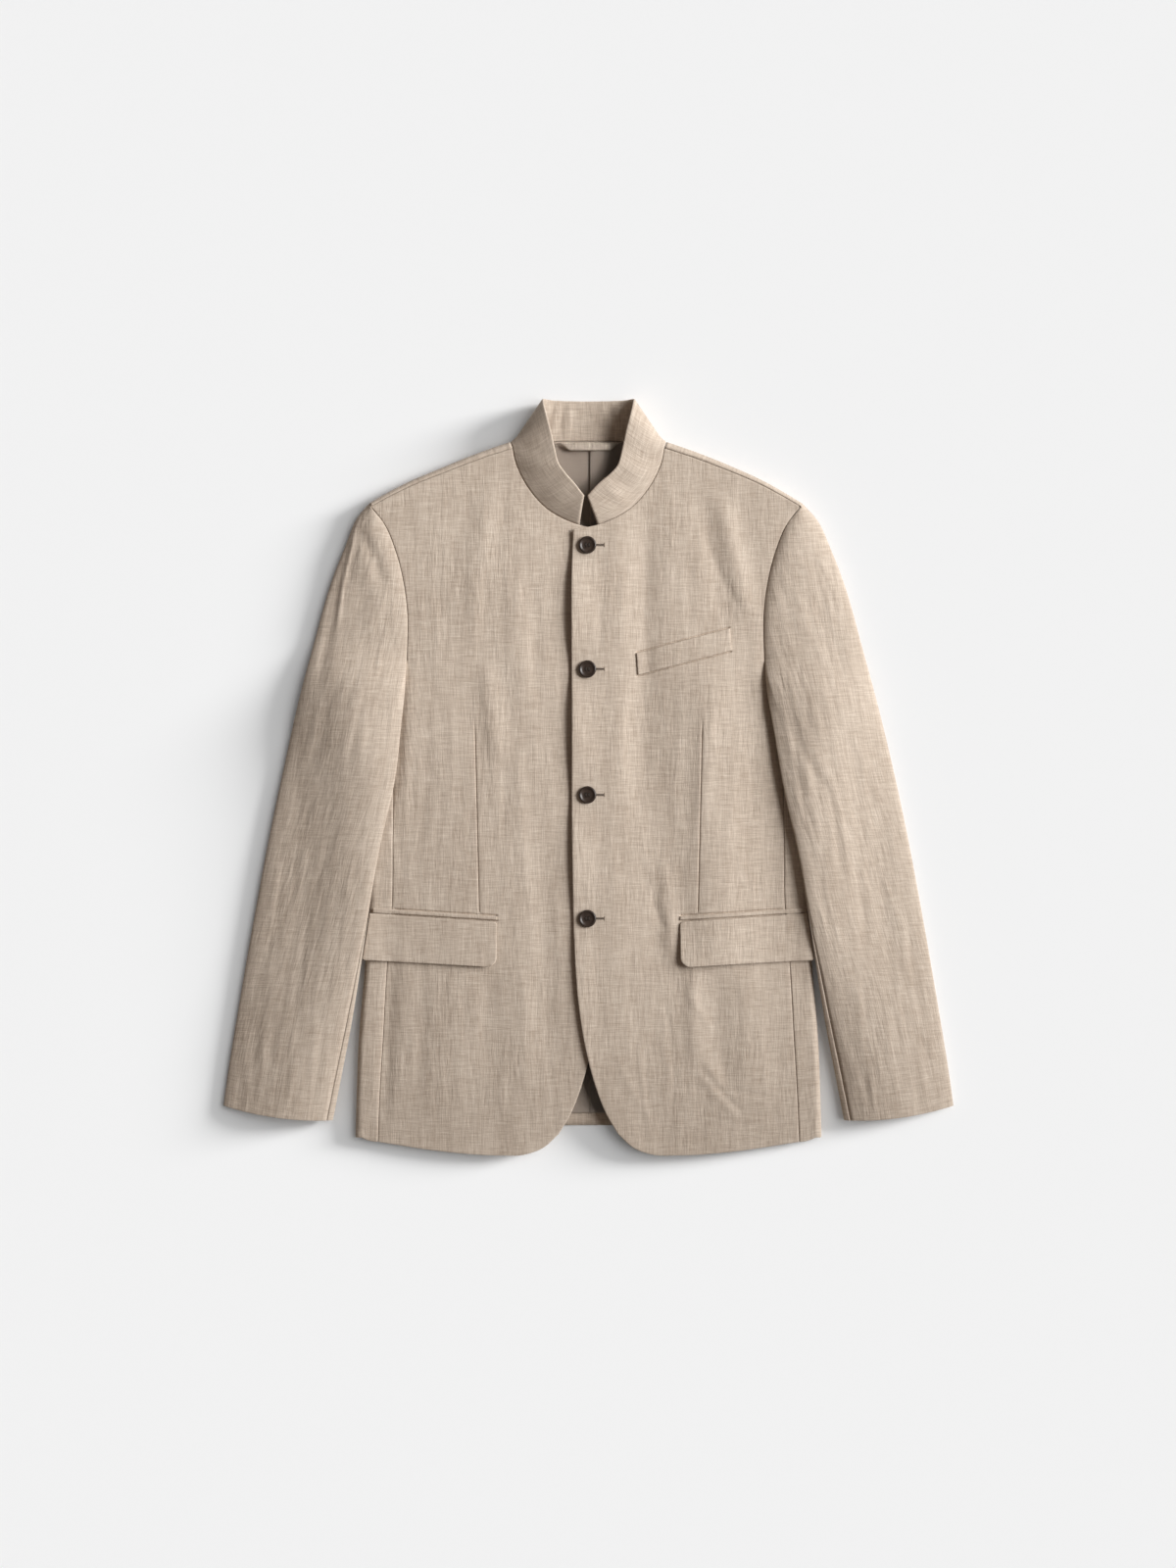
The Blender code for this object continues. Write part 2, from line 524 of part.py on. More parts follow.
def sleeve_grids(side):
    """Top sleeve and under sleeve, as grids with normals that agree along both seams."""
    top, under = [], []
    rows = sleeve_rows(side)
    for number, row in enumerate(rows):
        station = number / (len(rows) - 1)
        top.append([sleeve_point(row, angle, side, station)
                    for angle in np.linspace(BACK_SEAM_DEG, row[9], TOP_SLEEVE_COLUMNS)])
        under.append([sleeve_point(row, angle, side, station)
                      for angle in np.linspace(row[10], 360.0 + BACK_SEAM_DEG, UNDER_SLEEVE_COLUMNS)])
    top, under = np.array(top), np.array(under)
    middle = len(rows) // 2
    top_normal = normals_of(top, middle, TOP_SLEEVE_COLUMNS // 2, (0, 0, 1))
    under_normal = normals_of(under, middle, UNDER_SLEEVE_COLUMNS * 2 // 3, (0, 0, -1))
    out = shoulder_lines()[1][-1]
    for normal, first, last in ((top_normal, BACK_SEAM_DEG, rows[0][9]),
                                (under_normal, rows[0][10], 360.0 + BACK_SEAM_DEG)):
        angle = np.radians(np.linspace(first, last, normal.shape[1]))
        normal[0] = np.column_stack([np.cos(angle)[:, None] * out, np.sin(angle)])
    shared = unit(top_normal[:, 0] + under_normal[:, -1])
    top_normal[:, 0], under_normal[:, -1] = shared, shared
    meets = np.linalg.norm(top[:, -1] - under[:, 0], axis=1) < 0.01
    shared = unit(top_normal[:, -1] + under_normal[:, 0])
    top_normal[meets, -1], under_normal[meets, 0] = shared[meets], shared[meets]
    half = SLEEVE_SEAM_GAP / 2.0
    top = trimmed(top, 0, half)
    under = trimmed(under, UNDER_SLEEVE_COLUMNS - 1, half)
    joined_top = trimmed(top, TOP_SLEEVE_COLUMNS - 1, half)
    joined_under = trimmed(under, 0, half)
    top[meets], under[meets] = joined_top[meets], joined_under[meets]
    return (top, top_normal), (under, under_normal)


def collar_half(side):
    """One half of the collar band, from its front end to the centre back."""
    seam, out, depth = shoulder_lines()
    front = neck_points()
    run = unit(np.gradient(front, axis=0))
    front_z = front_top(front[:, 0], front[:, 1], side)
    front = front + SEAM_GAP * np.column_stack([-run[:, 1], run[:, 0]])
    start = seam[0] - SEAM_GAP * np.array([out[0][1], -out[0][0]])
    angle = np.linspace(math.pi, 0.0, COLLAR_SIDE_STEPS + 1)[1:]
    side_xy = start + np.sin(angle)[:, None] * out[0] * depth[0]
    side_z = front_z[-1] * 0.5 * (1.0 - np.cos(angle))
    back = even([Point(*seam[0])] + BACK_NECK[::-1], COLLAR_BACK_STEPS + 1)[1:]
    back = back + np.array([0.0, SEAM_GAP])
    base = np.vstack([np.column_stack([front, front_z]), np.column_stack([side_xy, side_z]),
                      np.column_stack([back, np.zeros(len(back))])])
    facing = np.vstack([np.tile([0.0, 0.0, 1.0], (len(front), 1)),
                        np.column_stack([np.sin(angle)[:, None] * out[0], -np.cos(angle)]),
                        np.tile([0.0, 0.0, -1.0], (len(back), 1))])
    table = np.array(COLLAR_EDGE)
    edge = blend(table[:, 0], table[:, 1:], np.linspace(0.0, 1.0, len(base)))
    tip = 1.0 - soft(np.linspace(0.0, 1.0, len(base)) / COLLAR_TIP_SHARE)
    base, edge = mirrored(base, side), mirrored(edge, side)
    edge[:, 0] += COLLAR_TIP_SHIFT * tip
    over = np.linspace(0.0, 1.0, COLLAR_COLUMNS)[None, :, None]
    return base[:, None] * (1.0 - over) + edge[:, None] * over, mirrored(facing, side)


def collar_grid():
    """The whole collar band, from the left front end round the back to the right one."""
    (left, left_facing), (right, right_facing) = collar_half(LEFT), collar_half(RIGHT)
    grid = np.concatenate([left, right[-2::-1]])
    middle = len(grid) // 2
    normal = normals_of(grid, middle, COLLAR_COLUMNS // 2, (0, 0, -1))
    over = np.sin(np.linspace(0.0, math.pi, COLLAR_COLUMNS))[None, :, None]
    standing = soft(grid[:, -1:, 2:] / COLLAR_STAND)
    grid = grid + normal * COLLAR_BOW * over * standing
    normal = normals_of(grid, middle, COLLAR_COLUMNS // 2, (0, 0, -1))
    normal[:, 0] = np.concatenate([left_facing, right_facing[-2::-1]])
    return grid, normal


def surface_tree(patches):
    """A tree of outer faces, to find the height of the cloth at a place."""
    points, faces = [], []
    for grid, _ in patches:
        rows, columns = grid.shape[:2]
        first = len(points)
        points += [Vector(point) for point in grid.reshape(-1, 3)]
        for row in range(rows - 1):
            for column in range(columns - 1):
                corner = first + row * columns + column
                faces.append((corner, corner + 1, corner + columns + 1, corner + columns))
    return BVHTree.FromPolygons(points, faces)


def cloth_height(trees, x, y):
    """Height of the highest cloth at a place, a little inside the panels if it is on a seam."""
    found = []
    for tree in trees:
        for shift in (0.0, -1.0, 1.0):
            hit = tree.ray_cast(Vector((x + shift, y, 200.0)), Vector((0.0, 0.0, -1.0)))[0]
            if hit:
                found.append(hit.z)
    return max(found)


def laid_on(trees, flat, lift):
    """A flat grid laid on cloth, at a height over it."""
    height = [[cloth_height(trees, x, y) for x, y in row] for row in flat]
    return np.dstack([flat, np.array(height) + lift])


def quad(top_inner, top_outer, bottom_inner, bottom_outer, over, down):
    """Points between four corners, at fractions over and down."""
    over, down = np.asarray(over)[None, :, None], np.asarray(down)
    down = down[:, :, None] if down.ndim == 2 else down[:, None, None]
    top = np.array(top_inner) * (1 - over) + np.array(top_outer) * over
    bottom = np.array(bottom_inner) * (1 - over) + np.array(bottom_outer) * over
    return top * (1 - down) + bottom * down


def flap_patch(trees, side):
    """A pocket flap with rounded lower corners, standing off a little at its free edge."""
    width = FLAP_TOP_OUTER.x - FLAP_TOP_INNER.x
    drop = FLAP_TOP_INNER.y - FLAP_BOTTOM_INNER.y
    ends = np.array(FLAP_CORNER_STEPS) * FLAP_CORNER / width
    between = np.linspace(ends[-1], 1.0 - ends[-1], FLAP_COLUMNS)[1:-1]
    over = np.concatenate([ends, between, 1.0 - ends[::-1]])
    near = np.minimum(over, 1.0 - over) * width
    inset = np.maximum(FLAP_CORNER - near, 0.0)
    short = FLAP_CORNER - np.sqrt(np.maximum(FLAP_CORNER ** 2 - inset ** 2, 0.0))
    down = np.linspace(0.0, 1.0, FLAP_ROWS)[:, None] * (1.0 - short / drop)[None]
    flat = quad(FLAP_TOP_INNER, FLAP_TOP_OUTER, FLAP_BOTTOM_INNER, FLAP_BOTTOM_OUTER, over, down)
    flat = flat * np.array([side, 1.0])
    end = soft(1.0 - (1.0 - over) / FLAP_END_SHARE)[None]
    lift = LAY_GAP + FLAP_WALL + FLAP_LIFT * down ** FLAP_CURL + FLAP_END_LIFT * end
    grid = laid_on(trees, flat, lift)
    return grid, normals_of(grid, 2, 5, (0, 0, 1))


def strip_patch(trees, side, corners, columns, rows, wall_size):
    """A welt or a jet that lies on a front."""
    flat = quad(*corners, np.linspace(0.0, 1.0, columns), np.linspace(0.0, 1.0, rows))
    flat = flat * np.array([side, 1.0])
    grid = laid_on(trees, flat, LAY_GAP + wall_size)
    return grid, normals_of(grid, 0, 2, (0, 0, 1))


def lining_patch(side):
    """Half of the back lining; the left half laps over the right one at the pleat."""
    inner = PLEAT_X if side == LEFT else -PLEAT_X - PLEAT_LAP
    edge, neck = np.array(LINING_EDGE), np.array(BACK_NECK + [shoulder_lines()[0][0]])
    grid = []
    for down in np.linspace(0.0, 1.0, LINING_ROWS):
        row = []
        for over in LINING_COLUMNS:
            y = LINING_HEM_Y + (BACK_NECK[0].y - LINING_HEM_Y) * down
            x = inner + (np.interp(y, edge[:, 0], edge[:, 1]) - inner) * over
            y -= down * (BACK_NECK[0].y - np.interp(abs(x), neck[:, 0], neck[:, 1]) + LINING_NECK_GAP)
            lap = 1.0 - float(soft((x - PLEAT_FLAT) / PLEAT_FADE)) if side == LEFT else 0.0
            row.append([x * side, y, BACK_WALL + SEAM_GAP + LINING_WALL + PLEAT_LIFT * lap])
        grid.append(row)
    grid = np.array(grid)
    return grid, normals_of(grid, 2, 2, (0, 0, 1))


def loop_patch():
    """The hanger strip inside the neck, with mitred ends."""
    over = np.linspace(-1.0, 1.0, LOOP_COLUMNS)
    seat = BACK_WALL + LINING_WALL + PLEAT_LIFT + LAY_GAP * 2.0 + LOOP_WALL
    grid = []
    for down in np.linspace(0.0, 1.0, LOOP_ROWS):
        half = LOOP_TOP_HALF + (LOOP_BOTTOM_HALF - LOOP_TOP_HALF) * down
        y = LOOP_TOP_Y + (LOOP_BOTTOM_Y - LOOP_TOP_Y) * down
        z = seat + LOOP_ARCH * (1.0 - over ** 2)
        grid.append(np.column_stack([half * over, np.full(len(over), y), z]))
    grid = np.array(grid)
    return grid, normals_of(grid, 1, 4, (0, 0, 1))


def turned(name, profile, dish, segments, surface):
    """A turned body, from its bottom edge round to its dish."""
    angle = np.linspace(0.0, 2.0 * math.pi, segments, endpoint=False)
    points = [np.array([0.0, 0.0, 0.0])]
    for size in profile:
        points += [np.array([size.x * math.cos(a), size.x * math.sin(a), size.y]) for a in angle]
    points.append(np.array([0.0, 0.0, dish]))
    faces = []
    for k in range(segments):
        after = (k + 1) % segments
        faces.append([0, 1 + after, 1 + k])
        for ring in range(len(profile) - 1):
            low, high = 1 + ring * segments, 1 + (ring + 1) * segments
            faces.append([low + k, low + after, high + after, high + k])
        last = 1 + (len(profile) - 1) * segments
        faces.append([last + k, last + after, len(points) - 1])
    return add_object(name, points, faces, surface)


def hole_cutter(name, surface):
    """Four pins that cut the holes of a button."""
    points, faces = [], []
    angle = np.linspace(0.0, 2.0 * math.pi, HOLE_SEGMENTS, endpoint=False)
    for x in (-HOLE_OFFSET, HOLE_OFFSET):
        for y in (-HOLE_OFFSET, HOLE_OFFSET):
            first = len(points)
            for z in HOLE_ENDS:
                points += [np.array([x + HOLE_RADIUS * math.cos(a), y + HOLE_RADIUS * math.sin(a), z])
                           for a in angle]
            low = list(range(first, first + HOLE_SEGMENTS))
            high = list(range(first + HOLE_SEGMENTS, len(points)))
            faces += [low[::-1], high]
            for k in range(HOLE_SEGMENTS):
                after = (k + 1) % HOLE_SEGMENTS
                faces.append([low[k], low[after], high[after], high[k]])
    made = add_object(name, points, faces, surface)
    made.hide_render = True
    made.display_type = "WIRE"
    return made


def add_button(number, trees, surface):
    """A four-hole button on the left front."""
    y = BUTTON_Y[number - 1]
    reach = BUTTON_PROFILE[2].x
    around = [(BUTTON_X + reach * math.cos(a), y + reach * math.sin(a))
              for a in np.linspace(0.0, 2.0 * math.pi, BUTTON_SEGMENTS // 2 + 1)]
    seat = max(cloth_height(trees, *place) for place in around) + LAY_GAP
    button = turned(f"button_{number}", BUTTON_PROFILE, BUTTON_DISH, BUTTON_SEGMENTS, surface)
    cutter = hole_cutter(f"button_{number}_holes", surface)
    for made in (button, cutter):
        made.data.transform(Matrix.Translation((BUTTON_X * MM, y * MM, seat * MM)))
    cut = button.modifiers.new("holes", "BOOLEAN")
    cut.operation = "DIFFERENCE"
    cut.solver = "EXACT"
    cut.object = cutter


for old in list(bpy.data.objects):
    bpy.data.objects.remove(old, do_unlink=True)

linen = material("linen", (0.50, 0.41, 0.33), 0.9)
lining_cloth = material("lining_cloth", (0.36, 0.28, 0.22), 0.6)
horn = material("horn", (0.045, 0.03, 0.024), 0.35)

back_flat, back_roll, roll_normal = back_half()
floor_normal = np.zeros(back_flat.shape) + np.array([0.0, 0.0, -1.0])
back_patches = []
for side in (LEFT, RIGHT):
    turned_out = np.array([side, 1.0, 1.0])
    back_patches += [(back_flat * turned_out, floor_normal),
                     (back_roll * turned_out, roll_normal * turned_out)]
wall("back", back_patches, BACK_WALL, linen)

trees = {}
for side, word in ((LEFT, "left"), (RIGHT, "right")):
    flat = front_flat()
    front = raised(flat, side)
    front_normal = normals_of(front, 5, 5, (0, 0, 1))
    panel = side_grid(side)
    panel_normal = normals_of(panel, 5, 0, (0, 0, 1))
    shared = unit(front_normal[:SIDE_ROWS, -1] + panel_normal[:, 0])
    front_normal[:SIDE_ROWS, -1], panel_normal[:, 0] = shared, shared
    front[-1] = front[-1] - np.array([0.0, SEAM_GAP, 0.0])
    front[:SIDE_ROWS, -1] -= np.array([SEAM_GAP / 2.0, 0.0, 0.0])
    panel[:, 0] += np.array([SEAM_GAP / 2.0, 0.0, 0.0])
    turned_out = np.array([side, 1.0, 1.0])
    front_patch = (front * turned_out, front_normal * turned_out)
    panel_patch = (panel * turned_out, panel_normal * turned_out)
    wall(f"front_{word}", [front_patch], FRONT_WALL, linen)
    wall(f"side_{word}", [panel_patch], SIDE_WALL, linen)
    trees[side] = [surface_tree([front_patch]), surface_tree([panel_patch])]

    for name, (grid, normal) in zip(("top", "under"), sleeve_grids(side)):
        wall(f"sleeve_{name}_{word}", [(grid * turned_out, normal * turned_out)], SLEEVE_WALL, linen)

    wall(f"pocket_flap_{word}", [flap_patch(trees[side], side)], FLAP_WALL, linen)
    rise = np.array([0.0, JET_WIDTH + SEAM_GAP])
    sink = np.array([0.0, SEAM_GAP])
    jet_end = np.array(FLAP_TOP_INNER) * (1.0 - JET_SHARE) + np.array(FLAP_TOP_OUTER) * JET_SHARE
    jet = (FLAP_TOP_INNER + rise, jet_end + rise, FLAP_TOP_INNER + sink, jet_end + sink)
    jet_patch = strip_patch(trees[side], side, jet, JET_COLUMNS, 2, JET_WALL)
    wall(f"pocket_jet_{word}", [jet_patch], JET_WALL, linen)
    wall(f"lining_{word}", [lining_patch(side)], LINING_WALL, lining_cloth)

welt = (WELT_TOP_INNER, WELT_TOP_OUTER, WELT_BOTTOM_INNER, WELT_BOTTOM_OUTER)
welt_patch = strip_patch(trees[LEFT], LEFT, welt, WELT_COLUMNS, WELT_ROWS, WELT_WALL)
wall("chest_welt", [welt_patch], WELT_WALL, linen)
wall("collar", [collar_grid()], COLLAR_WALL, linen)
wall("hanger_loop", [loop_patch()], LOOP_WALL, linen)
for number in range(1, len(BUTTON_Y) + 1):
    add_button(number, trees[LEFT], horn)
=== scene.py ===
# %% [markdown]
# # A linen jacket, laid out flat with its front up
# The jacket is sewn from flat cuts of linen: two fronts, two side panels, a back, two-piece sleeves, a
# stand collar, flap pockets and a chest welt, with a lining inside and four horn buttons.
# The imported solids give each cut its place. Each cut is made again here, on the same sizes, as a thin
# shell that is fine enough to carry creases, turned edges and a woven cloth.

import math
from collections import namedtuple

import bpy
import numpy as np
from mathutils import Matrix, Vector
from mathutils.bvhtree import BVHTree
from mathutils.geometry import delaunay_2d_cdt
from mathutils.kdtree import KDTree


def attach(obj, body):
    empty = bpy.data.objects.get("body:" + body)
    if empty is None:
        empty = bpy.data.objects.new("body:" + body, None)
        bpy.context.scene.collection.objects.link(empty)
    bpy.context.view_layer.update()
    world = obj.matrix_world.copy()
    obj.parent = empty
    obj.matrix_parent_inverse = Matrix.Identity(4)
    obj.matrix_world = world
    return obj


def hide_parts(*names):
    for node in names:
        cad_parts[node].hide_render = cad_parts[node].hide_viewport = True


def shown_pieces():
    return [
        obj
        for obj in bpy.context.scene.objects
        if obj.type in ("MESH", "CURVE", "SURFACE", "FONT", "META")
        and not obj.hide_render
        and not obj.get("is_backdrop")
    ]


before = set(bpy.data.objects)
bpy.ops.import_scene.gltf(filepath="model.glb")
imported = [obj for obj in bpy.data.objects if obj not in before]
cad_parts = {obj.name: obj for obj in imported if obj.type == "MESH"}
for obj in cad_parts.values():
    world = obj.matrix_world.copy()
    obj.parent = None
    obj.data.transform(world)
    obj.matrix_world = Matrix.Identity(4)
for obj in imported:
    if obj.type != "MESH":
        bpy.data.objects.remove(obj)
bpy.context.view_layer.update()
MM = 0.001
LEFT, RIGHT = 1, -1
SIDES = ((LEFT, "left"), (RIGHT, "right"))

# %% [markdown]
# ## Curves from short tables
# A pattern cutter marks a few points and joins them with a curved ruler. The helpers below do the same:
# a table holds a point for each mark, and a smooth curve goes through them. Sizes are in millimetres, and
# x is counted out from the centre front, so that one table serves the left and the right half.

# %% Smooth curves
CURVE_FINENESS = 60


def soft(value):
    """Smooth step from 0 to 1."""
    value = np.clip(value, 0.0, 1.0)
    return value * value * (3.0 - 2.0 * value)


def blend(knots, rows, at):
    """Smooth values of a table's rows at any place along its knots."""
    knots, rows, at = np.asarray(knots, float), np.asarray(rows, float), np.atleast_1d(at)
    step = np.diff(knots)
    slope = np.diff(rows, axis=0) / step[:, None]
    tangent = np.vstack([slope[:1], (slope[:-1] * step[1:, None] + slope[1:] * step[:-1, None])
                         / (step[:-1] + step[1:])[:, None], slope[-1:]])
    index = np.clip(np.searchsorted(knots, at, side="right") - 1, 0, len(step) - 1)
    width = step[index][:, None]
    part = ((at - knots[index]) / step[index])[:, None]
    low = rows[index] + part * width * tangent[index]
    change = 3.0 * slope[index] - 2.0 * tangent[index] - tangent[index + 1]
    turn = tangent[index] + tangent[index + 1] - 2.0 * slope[index]
    return low + part ** 2 * width * change + part ** 3 * width * turn


def lengths(points):
    """Distance along a line of points."""
    return np.concatenate([[0.0], np.cumsum(np.linalg.norm(np.diff(points, axis=0), axis=1))])


def along(points, fractions):
    """Points on a smooth curve, at fractions of its length."""
    points = np.asarray(points, float)
    knots = lengths(points)
    fine = blend(knots, points, np.linspace(0.0, knots[-1], CURVE_FINENESS * len(points)))
    run = lengths(fine)
    places = np.asarray(fractions) * run[-1]
    return np.column_stack([np.interp(places, run, column) for column in fine.T])


def even(points, count):
    """A number of points evenly along a smooth curve."""
    return along(points, np.linspace(0.0, 1.0, count))


def unit(vectors):
    """Vectors of length one."""
    return vectors / np.maximum(np.linalg.norm(vectors, axis=-1, keepdims=True), 1e-9)


def coons(left, right, bottom, top):
    """Points inside four edges: rows go from bottom to top and columns from left to right."""
    up = np.linspace(0.0, 1.0, len(left))[:, None, None]
    over = np.linspace(0.0, 1.0, len(bottom))[None, :, None]
    between_ends = (1 - up) * bottom[None] + up * top[None]
    between_sides = (1 - over) * left[:, None] + over * right[:, None]
    corners = ((1 - up) * ((1 - over) * bottom[0] + over * bottom[-1])
               + up * ((1 - over) * top[0] + over * top[-1]))
    return between_ends + between_sides - corners


print("smooth step at a quarter of the way:", soft(0.25))

# %% [markdown]
# ## The pattern
# These are the edges of the cuts and the sections of the body as it lies: the same marks as the solids
# have. A row of SIDE is a section through the side of the body, and a row of SLEEVE is a section through a
# sleeve, from the shoulder to the cuff.

# %% Edges of the cuts
Point = namedtuple("Point", "x y")
Reach = namedtuple("Reach", "y x")
SideRow = namedtuple("SideRow", "y seam_x edge_x back_x edge_lift back_lift")
SleeveRow = namedtuple("SleeveRow", "outer_x outer_y inner_x inner_y wrap outer_height "
                                    "inner_height crown rest seam_top seam_under bow")
CollarEdge = namedtuple("CollarEdge", "at x y z")

FRONT_EDGE = [Point(-15.8, 257.6), Point(-17.5, 213.0), Point(-17.8, 161.0), Point(-17.4, 95.0),
              Point(-16.8, -88.7), Point(-14.8, -172.0), Point(-10.5, -234.5), Point(-2.1, -286.5),
              Point(6.1, -317.7), Point(18.7, -351.0), Point(31.1, -371.9)]
FRONT_HEM = [Point(31.1, -371.9), Point(47.7, -386.4), Point(66.5, -393.1), Point(93.5, -393.9),
             Point(155.0, -389.5), Point(219.5, -380.0)]
NECKLINE = [Point(-15.8, 257.6), Point(8.5, 262.2), Point(26.5, 269.0), Point(43.7, 279.5),
            Point(57.8, 294.0), Point(69.5, 312.0), Point(76.8, 330.0), Point(79.3, 342.3)]
COLLAR_START = 0.187
SHOULDER_EDGE = [Point(81.6, 349.4), Point(110.0, 339.6), Point(148.0, 324.4), Point(182.0, 309.0),
                 Point(209.0, 293.8), Point(223.0, 285.3)]
SHOULDER_ROLL_NECK, SHOULDER_ROLL_TIP = 7.4, 4.2
ARMHOLE = [Point(207.7, 265.5), Point(194.3, 234.3), Point(185.4, 196.9), Point(182.1, 163.5),
           Point(182.3, 142.0), Point(183.1, 121.9)]
UNDERARM = [Point(183.1, 121.9), Point(186.5, 110.0), Point(191.5, 95.0), Point(197.5, 77.0),
            Point(205.0, 58.0)]
BACK_UNDERARM = [Point(183.1, 121.9), Point(183.8, 104.0), Point(186.0, 84.0), Point(190.0, 60.0)]
BACK_NECK = [Point(0.0, 350.2), Point(30.0, 350.0), Point(56.0, 347.6)]
BACK_HEM_Y = -363.0
BACK_HEM_MIDDLE = Point(100.0, -364.0)
SIDE = [SideRow(-380.0, 219.5, 243.0, 192.0, 4.5, 12.0), SideRow(-330.0, 217.3, 241.6, 190.0, 2.5, 7.0),
        SideRow(-270.0, 213.7, 239.2, 186.0, 0.5, 2.0), SideRow(-194.0, 209.4, 232.8, 180.0, 0.0, 0.0),
        SideRow(-135.0, 204.6, 229.5, 177.0, 0.0, 0.0), SideRow(-70.0, 203.7, 229.0, 177.0, 0.0, 0.0),
        SideRow(-10.0, 203.3, 234.0, 181.0, 0.0, 0.0), SideRow(30.0, 203.5, 242.0, 186.0, 0.0, 0.0),
        SideRow(58.0, 205.0, 250.0, 190.0, 0.0, 2.0)]
SEAM_GAP, LAY_GAP = 0.3, 0.45
FRONT_WALL, SIDE_WALL, BACK_WALL, SLEEVE_WALL, COLLAR_WALL = 2.0, 1.6, 1.4, 1.6, 2.2
FLAP_WALL, JET_WALL, WELT_WALL, LOOP_WALL, LINING_WALL = 1.6, 1.2, 1.4, 1.2, 1.0
print("marks on the front edge, hem and neck:", len(FRONT_EDGE), len(FRONT_HEM), len(NECKLINE))

# %% Lines that several cuts share
SHOULDER_MARKS = 13


def shoulder_lines(count):
    """Shoulder seam points, their outward directions and the depth of the roll, neck to tip."""
    edge = even(SHOULDER_EDGE, count)
    run = unit(np.gradient(edge, axis=0))
    out = np.column_stack([-run[:, 1], run[:, 0]])
    depth = np.linspace(SHOULDER_ROLL_NECK, SHOULDER_ROLL_TIP, count)
    return edge - out * depth[:, None], out, depth


def side_rows(count):
    """Side panel sizes at even steps from the hem to the underarm."""
    table = np.array(SIDE)
    return blend(table[:, 0], table, np.linspace(table[0, 0], table[-1, 0], count))


def armhole_points(gap, count):
    """The armhole seam from the shoulder tip to where it goes under, moved out by a gap."""
    tip = shoulder_lines(SHOULDER_MARKS)[0][-1]
    seam = even(np.vstack([tip, np.array(ARMHOLE)]), count)
    run = unit(np.gradient(seam, axis=0))
    return seam + gap * np.column_stack([-run[:, 1], run[:, 0]])


def neck_points(count):
    """The neck seam of a front, from the collar's front end to the shoulder."""
    curve = NECKLINE[:-1] + [Point(*shoulder_lines(SHOULDER_MARKS)[0][0])]
    return along(curve, np.linspace(COLLAR_START, 1.0, count))


print("armhole seam in mm:", round(lengths(armhole_points(0.0, 60))[-1], 1),
      "neck seam of a front:", round(lengths(neck_points(60))[-1], 1))

# %% [markdown]
# ## How the cloth lies: height, folds and creases
# Linen that is laid out by hand keeps its creases. The large folds come first, in place of the few plain
# ones that the solids have, and then the smaller creases. All are placed one by one: each row is a soft
# trough (below zero) or ridge with its own line, width, height and bow, so that none repeats another. A
# crease has a low bank on both sides, as a real one has, because the cloth that rises in one place is drawn
# from the cloth beside it. A low random rumple, the same on each run, fills in between them.

# %% Creases and rumple
Crease = namedtuple("Crease", "x0 y0 x1 y1 half_width height bow", defaults=(0.0,))
CREASE_ENDS = 2.6
BANK_SHARE, BANK_WIDTH = 0.42, 2.1
RUMPLE_CELLS, RUMPLE_GAIN = 64, 1.5
FINE_SHARE = 0.5


def creases(*rows):
    """A table with a crease for each row of sizes."""
    return [Crease(*row) for row in rows]


def crease_height(table, x, y):
    """Height of a table of creases at places x, y."""
    height = np.zeros(np.shape(x))
    for crease in table:
        run_x, run_y = crease.x1 - crease.x0, crease.y1 - crease.y0
        length = math.hypot(run_x, run_y)
        part = ((x - crease.x0) * run_x + (y - crease.y0) * run_y) / length ** 2
        off = ((x - crease.x0) * run_y - (y - crease.y0) * run_x) / length
        off = (off - crease.bow * 4.0 * part * (1.0 - part)) / crease.half_width
        fade = soft(part * CREASE_ENDS + 0.5) * soft((1.0 - part) * CREASE_ENDS + 0.5)
        wave = np.exp(-off ** 2) - BANK_SHARE * np.exp(-(off / BANK_WIDTH) ** 2)
        height = height + crease.height * fade * wave
    return height


def rumple(u, v, seed):
    """Smooth noise of about -1 to 1 over two coordinates, the same on each run."""
    turn = np.random.default_rng(seed).uniform(0.0, 2.0 * math.pi, (RUMPLE_CELLS, RUMPLE_CELLS))
    u0, v0 = np.floor(u).astype(int), np.floor(v).astype(int)
    du, dv = u - u0, v - v0

    def corner(i, j):
        angle = turn[(u0 + i) % RUMPLE_CELLS, (v0 + j) % RUMPLE_CELLS]
        return np.cos(angle) * (du - i) + np.sin(angle) * (dv - j)

    ease_u, ease_v = soft(du), soft(dv)
    low = corner(0, 0) * (1.0 - ease_u) + corner(1, 0) * ease_u
    high = corner(0, 1) * (1.0 - ease_u) + corner(1, 1) * ease_u
    return RUMPLE_GAIN * (low * (1.0 - ease_v) + high * ease_v)


print("rumple at one place:", round(float(rumple(np.array(0.5), np.array(0.5), 0)), 3))

# %% The creases of both fronts
FOLDS = {
    LEFT: creases(
        (187, 108, 209, -40, 7.5, -2.2), (121, 110, 138, -190, 36, 3.8), (116, 288, 140, 176, 12, -0.8),
        (138, 286, 165, 170, 12, 1.8), (58, 270, 56, -24, 17, -2), (128, 74, 118, -40, 9, 0.9),
        (79, -92, 89, -186, 11, 1.2), (110, -203, 114, -292, 11, 1.5), (130, -212, 142, -336, 15, -1),
        (162, -210, 172, -340, 15, 0.8), (122, -300, 150, -350, 11, 1)),
    RIGHT: creases(
        (187, 108, 209, -40, 7.5, -2.2), (105, 112, 94, 22, 13, 1.6), (104, 296, 124, 150, 14, 1.1),
        (80, 210, 72, 70, 16, 0.9), (103, -196, 100, -310, 15, -0.9), (206, -196, 213, -350, 9, -1.5),
        (150, -200, 156, -340, 18, 0.5), (50, -60, 42, -300, 14, -0.9))}
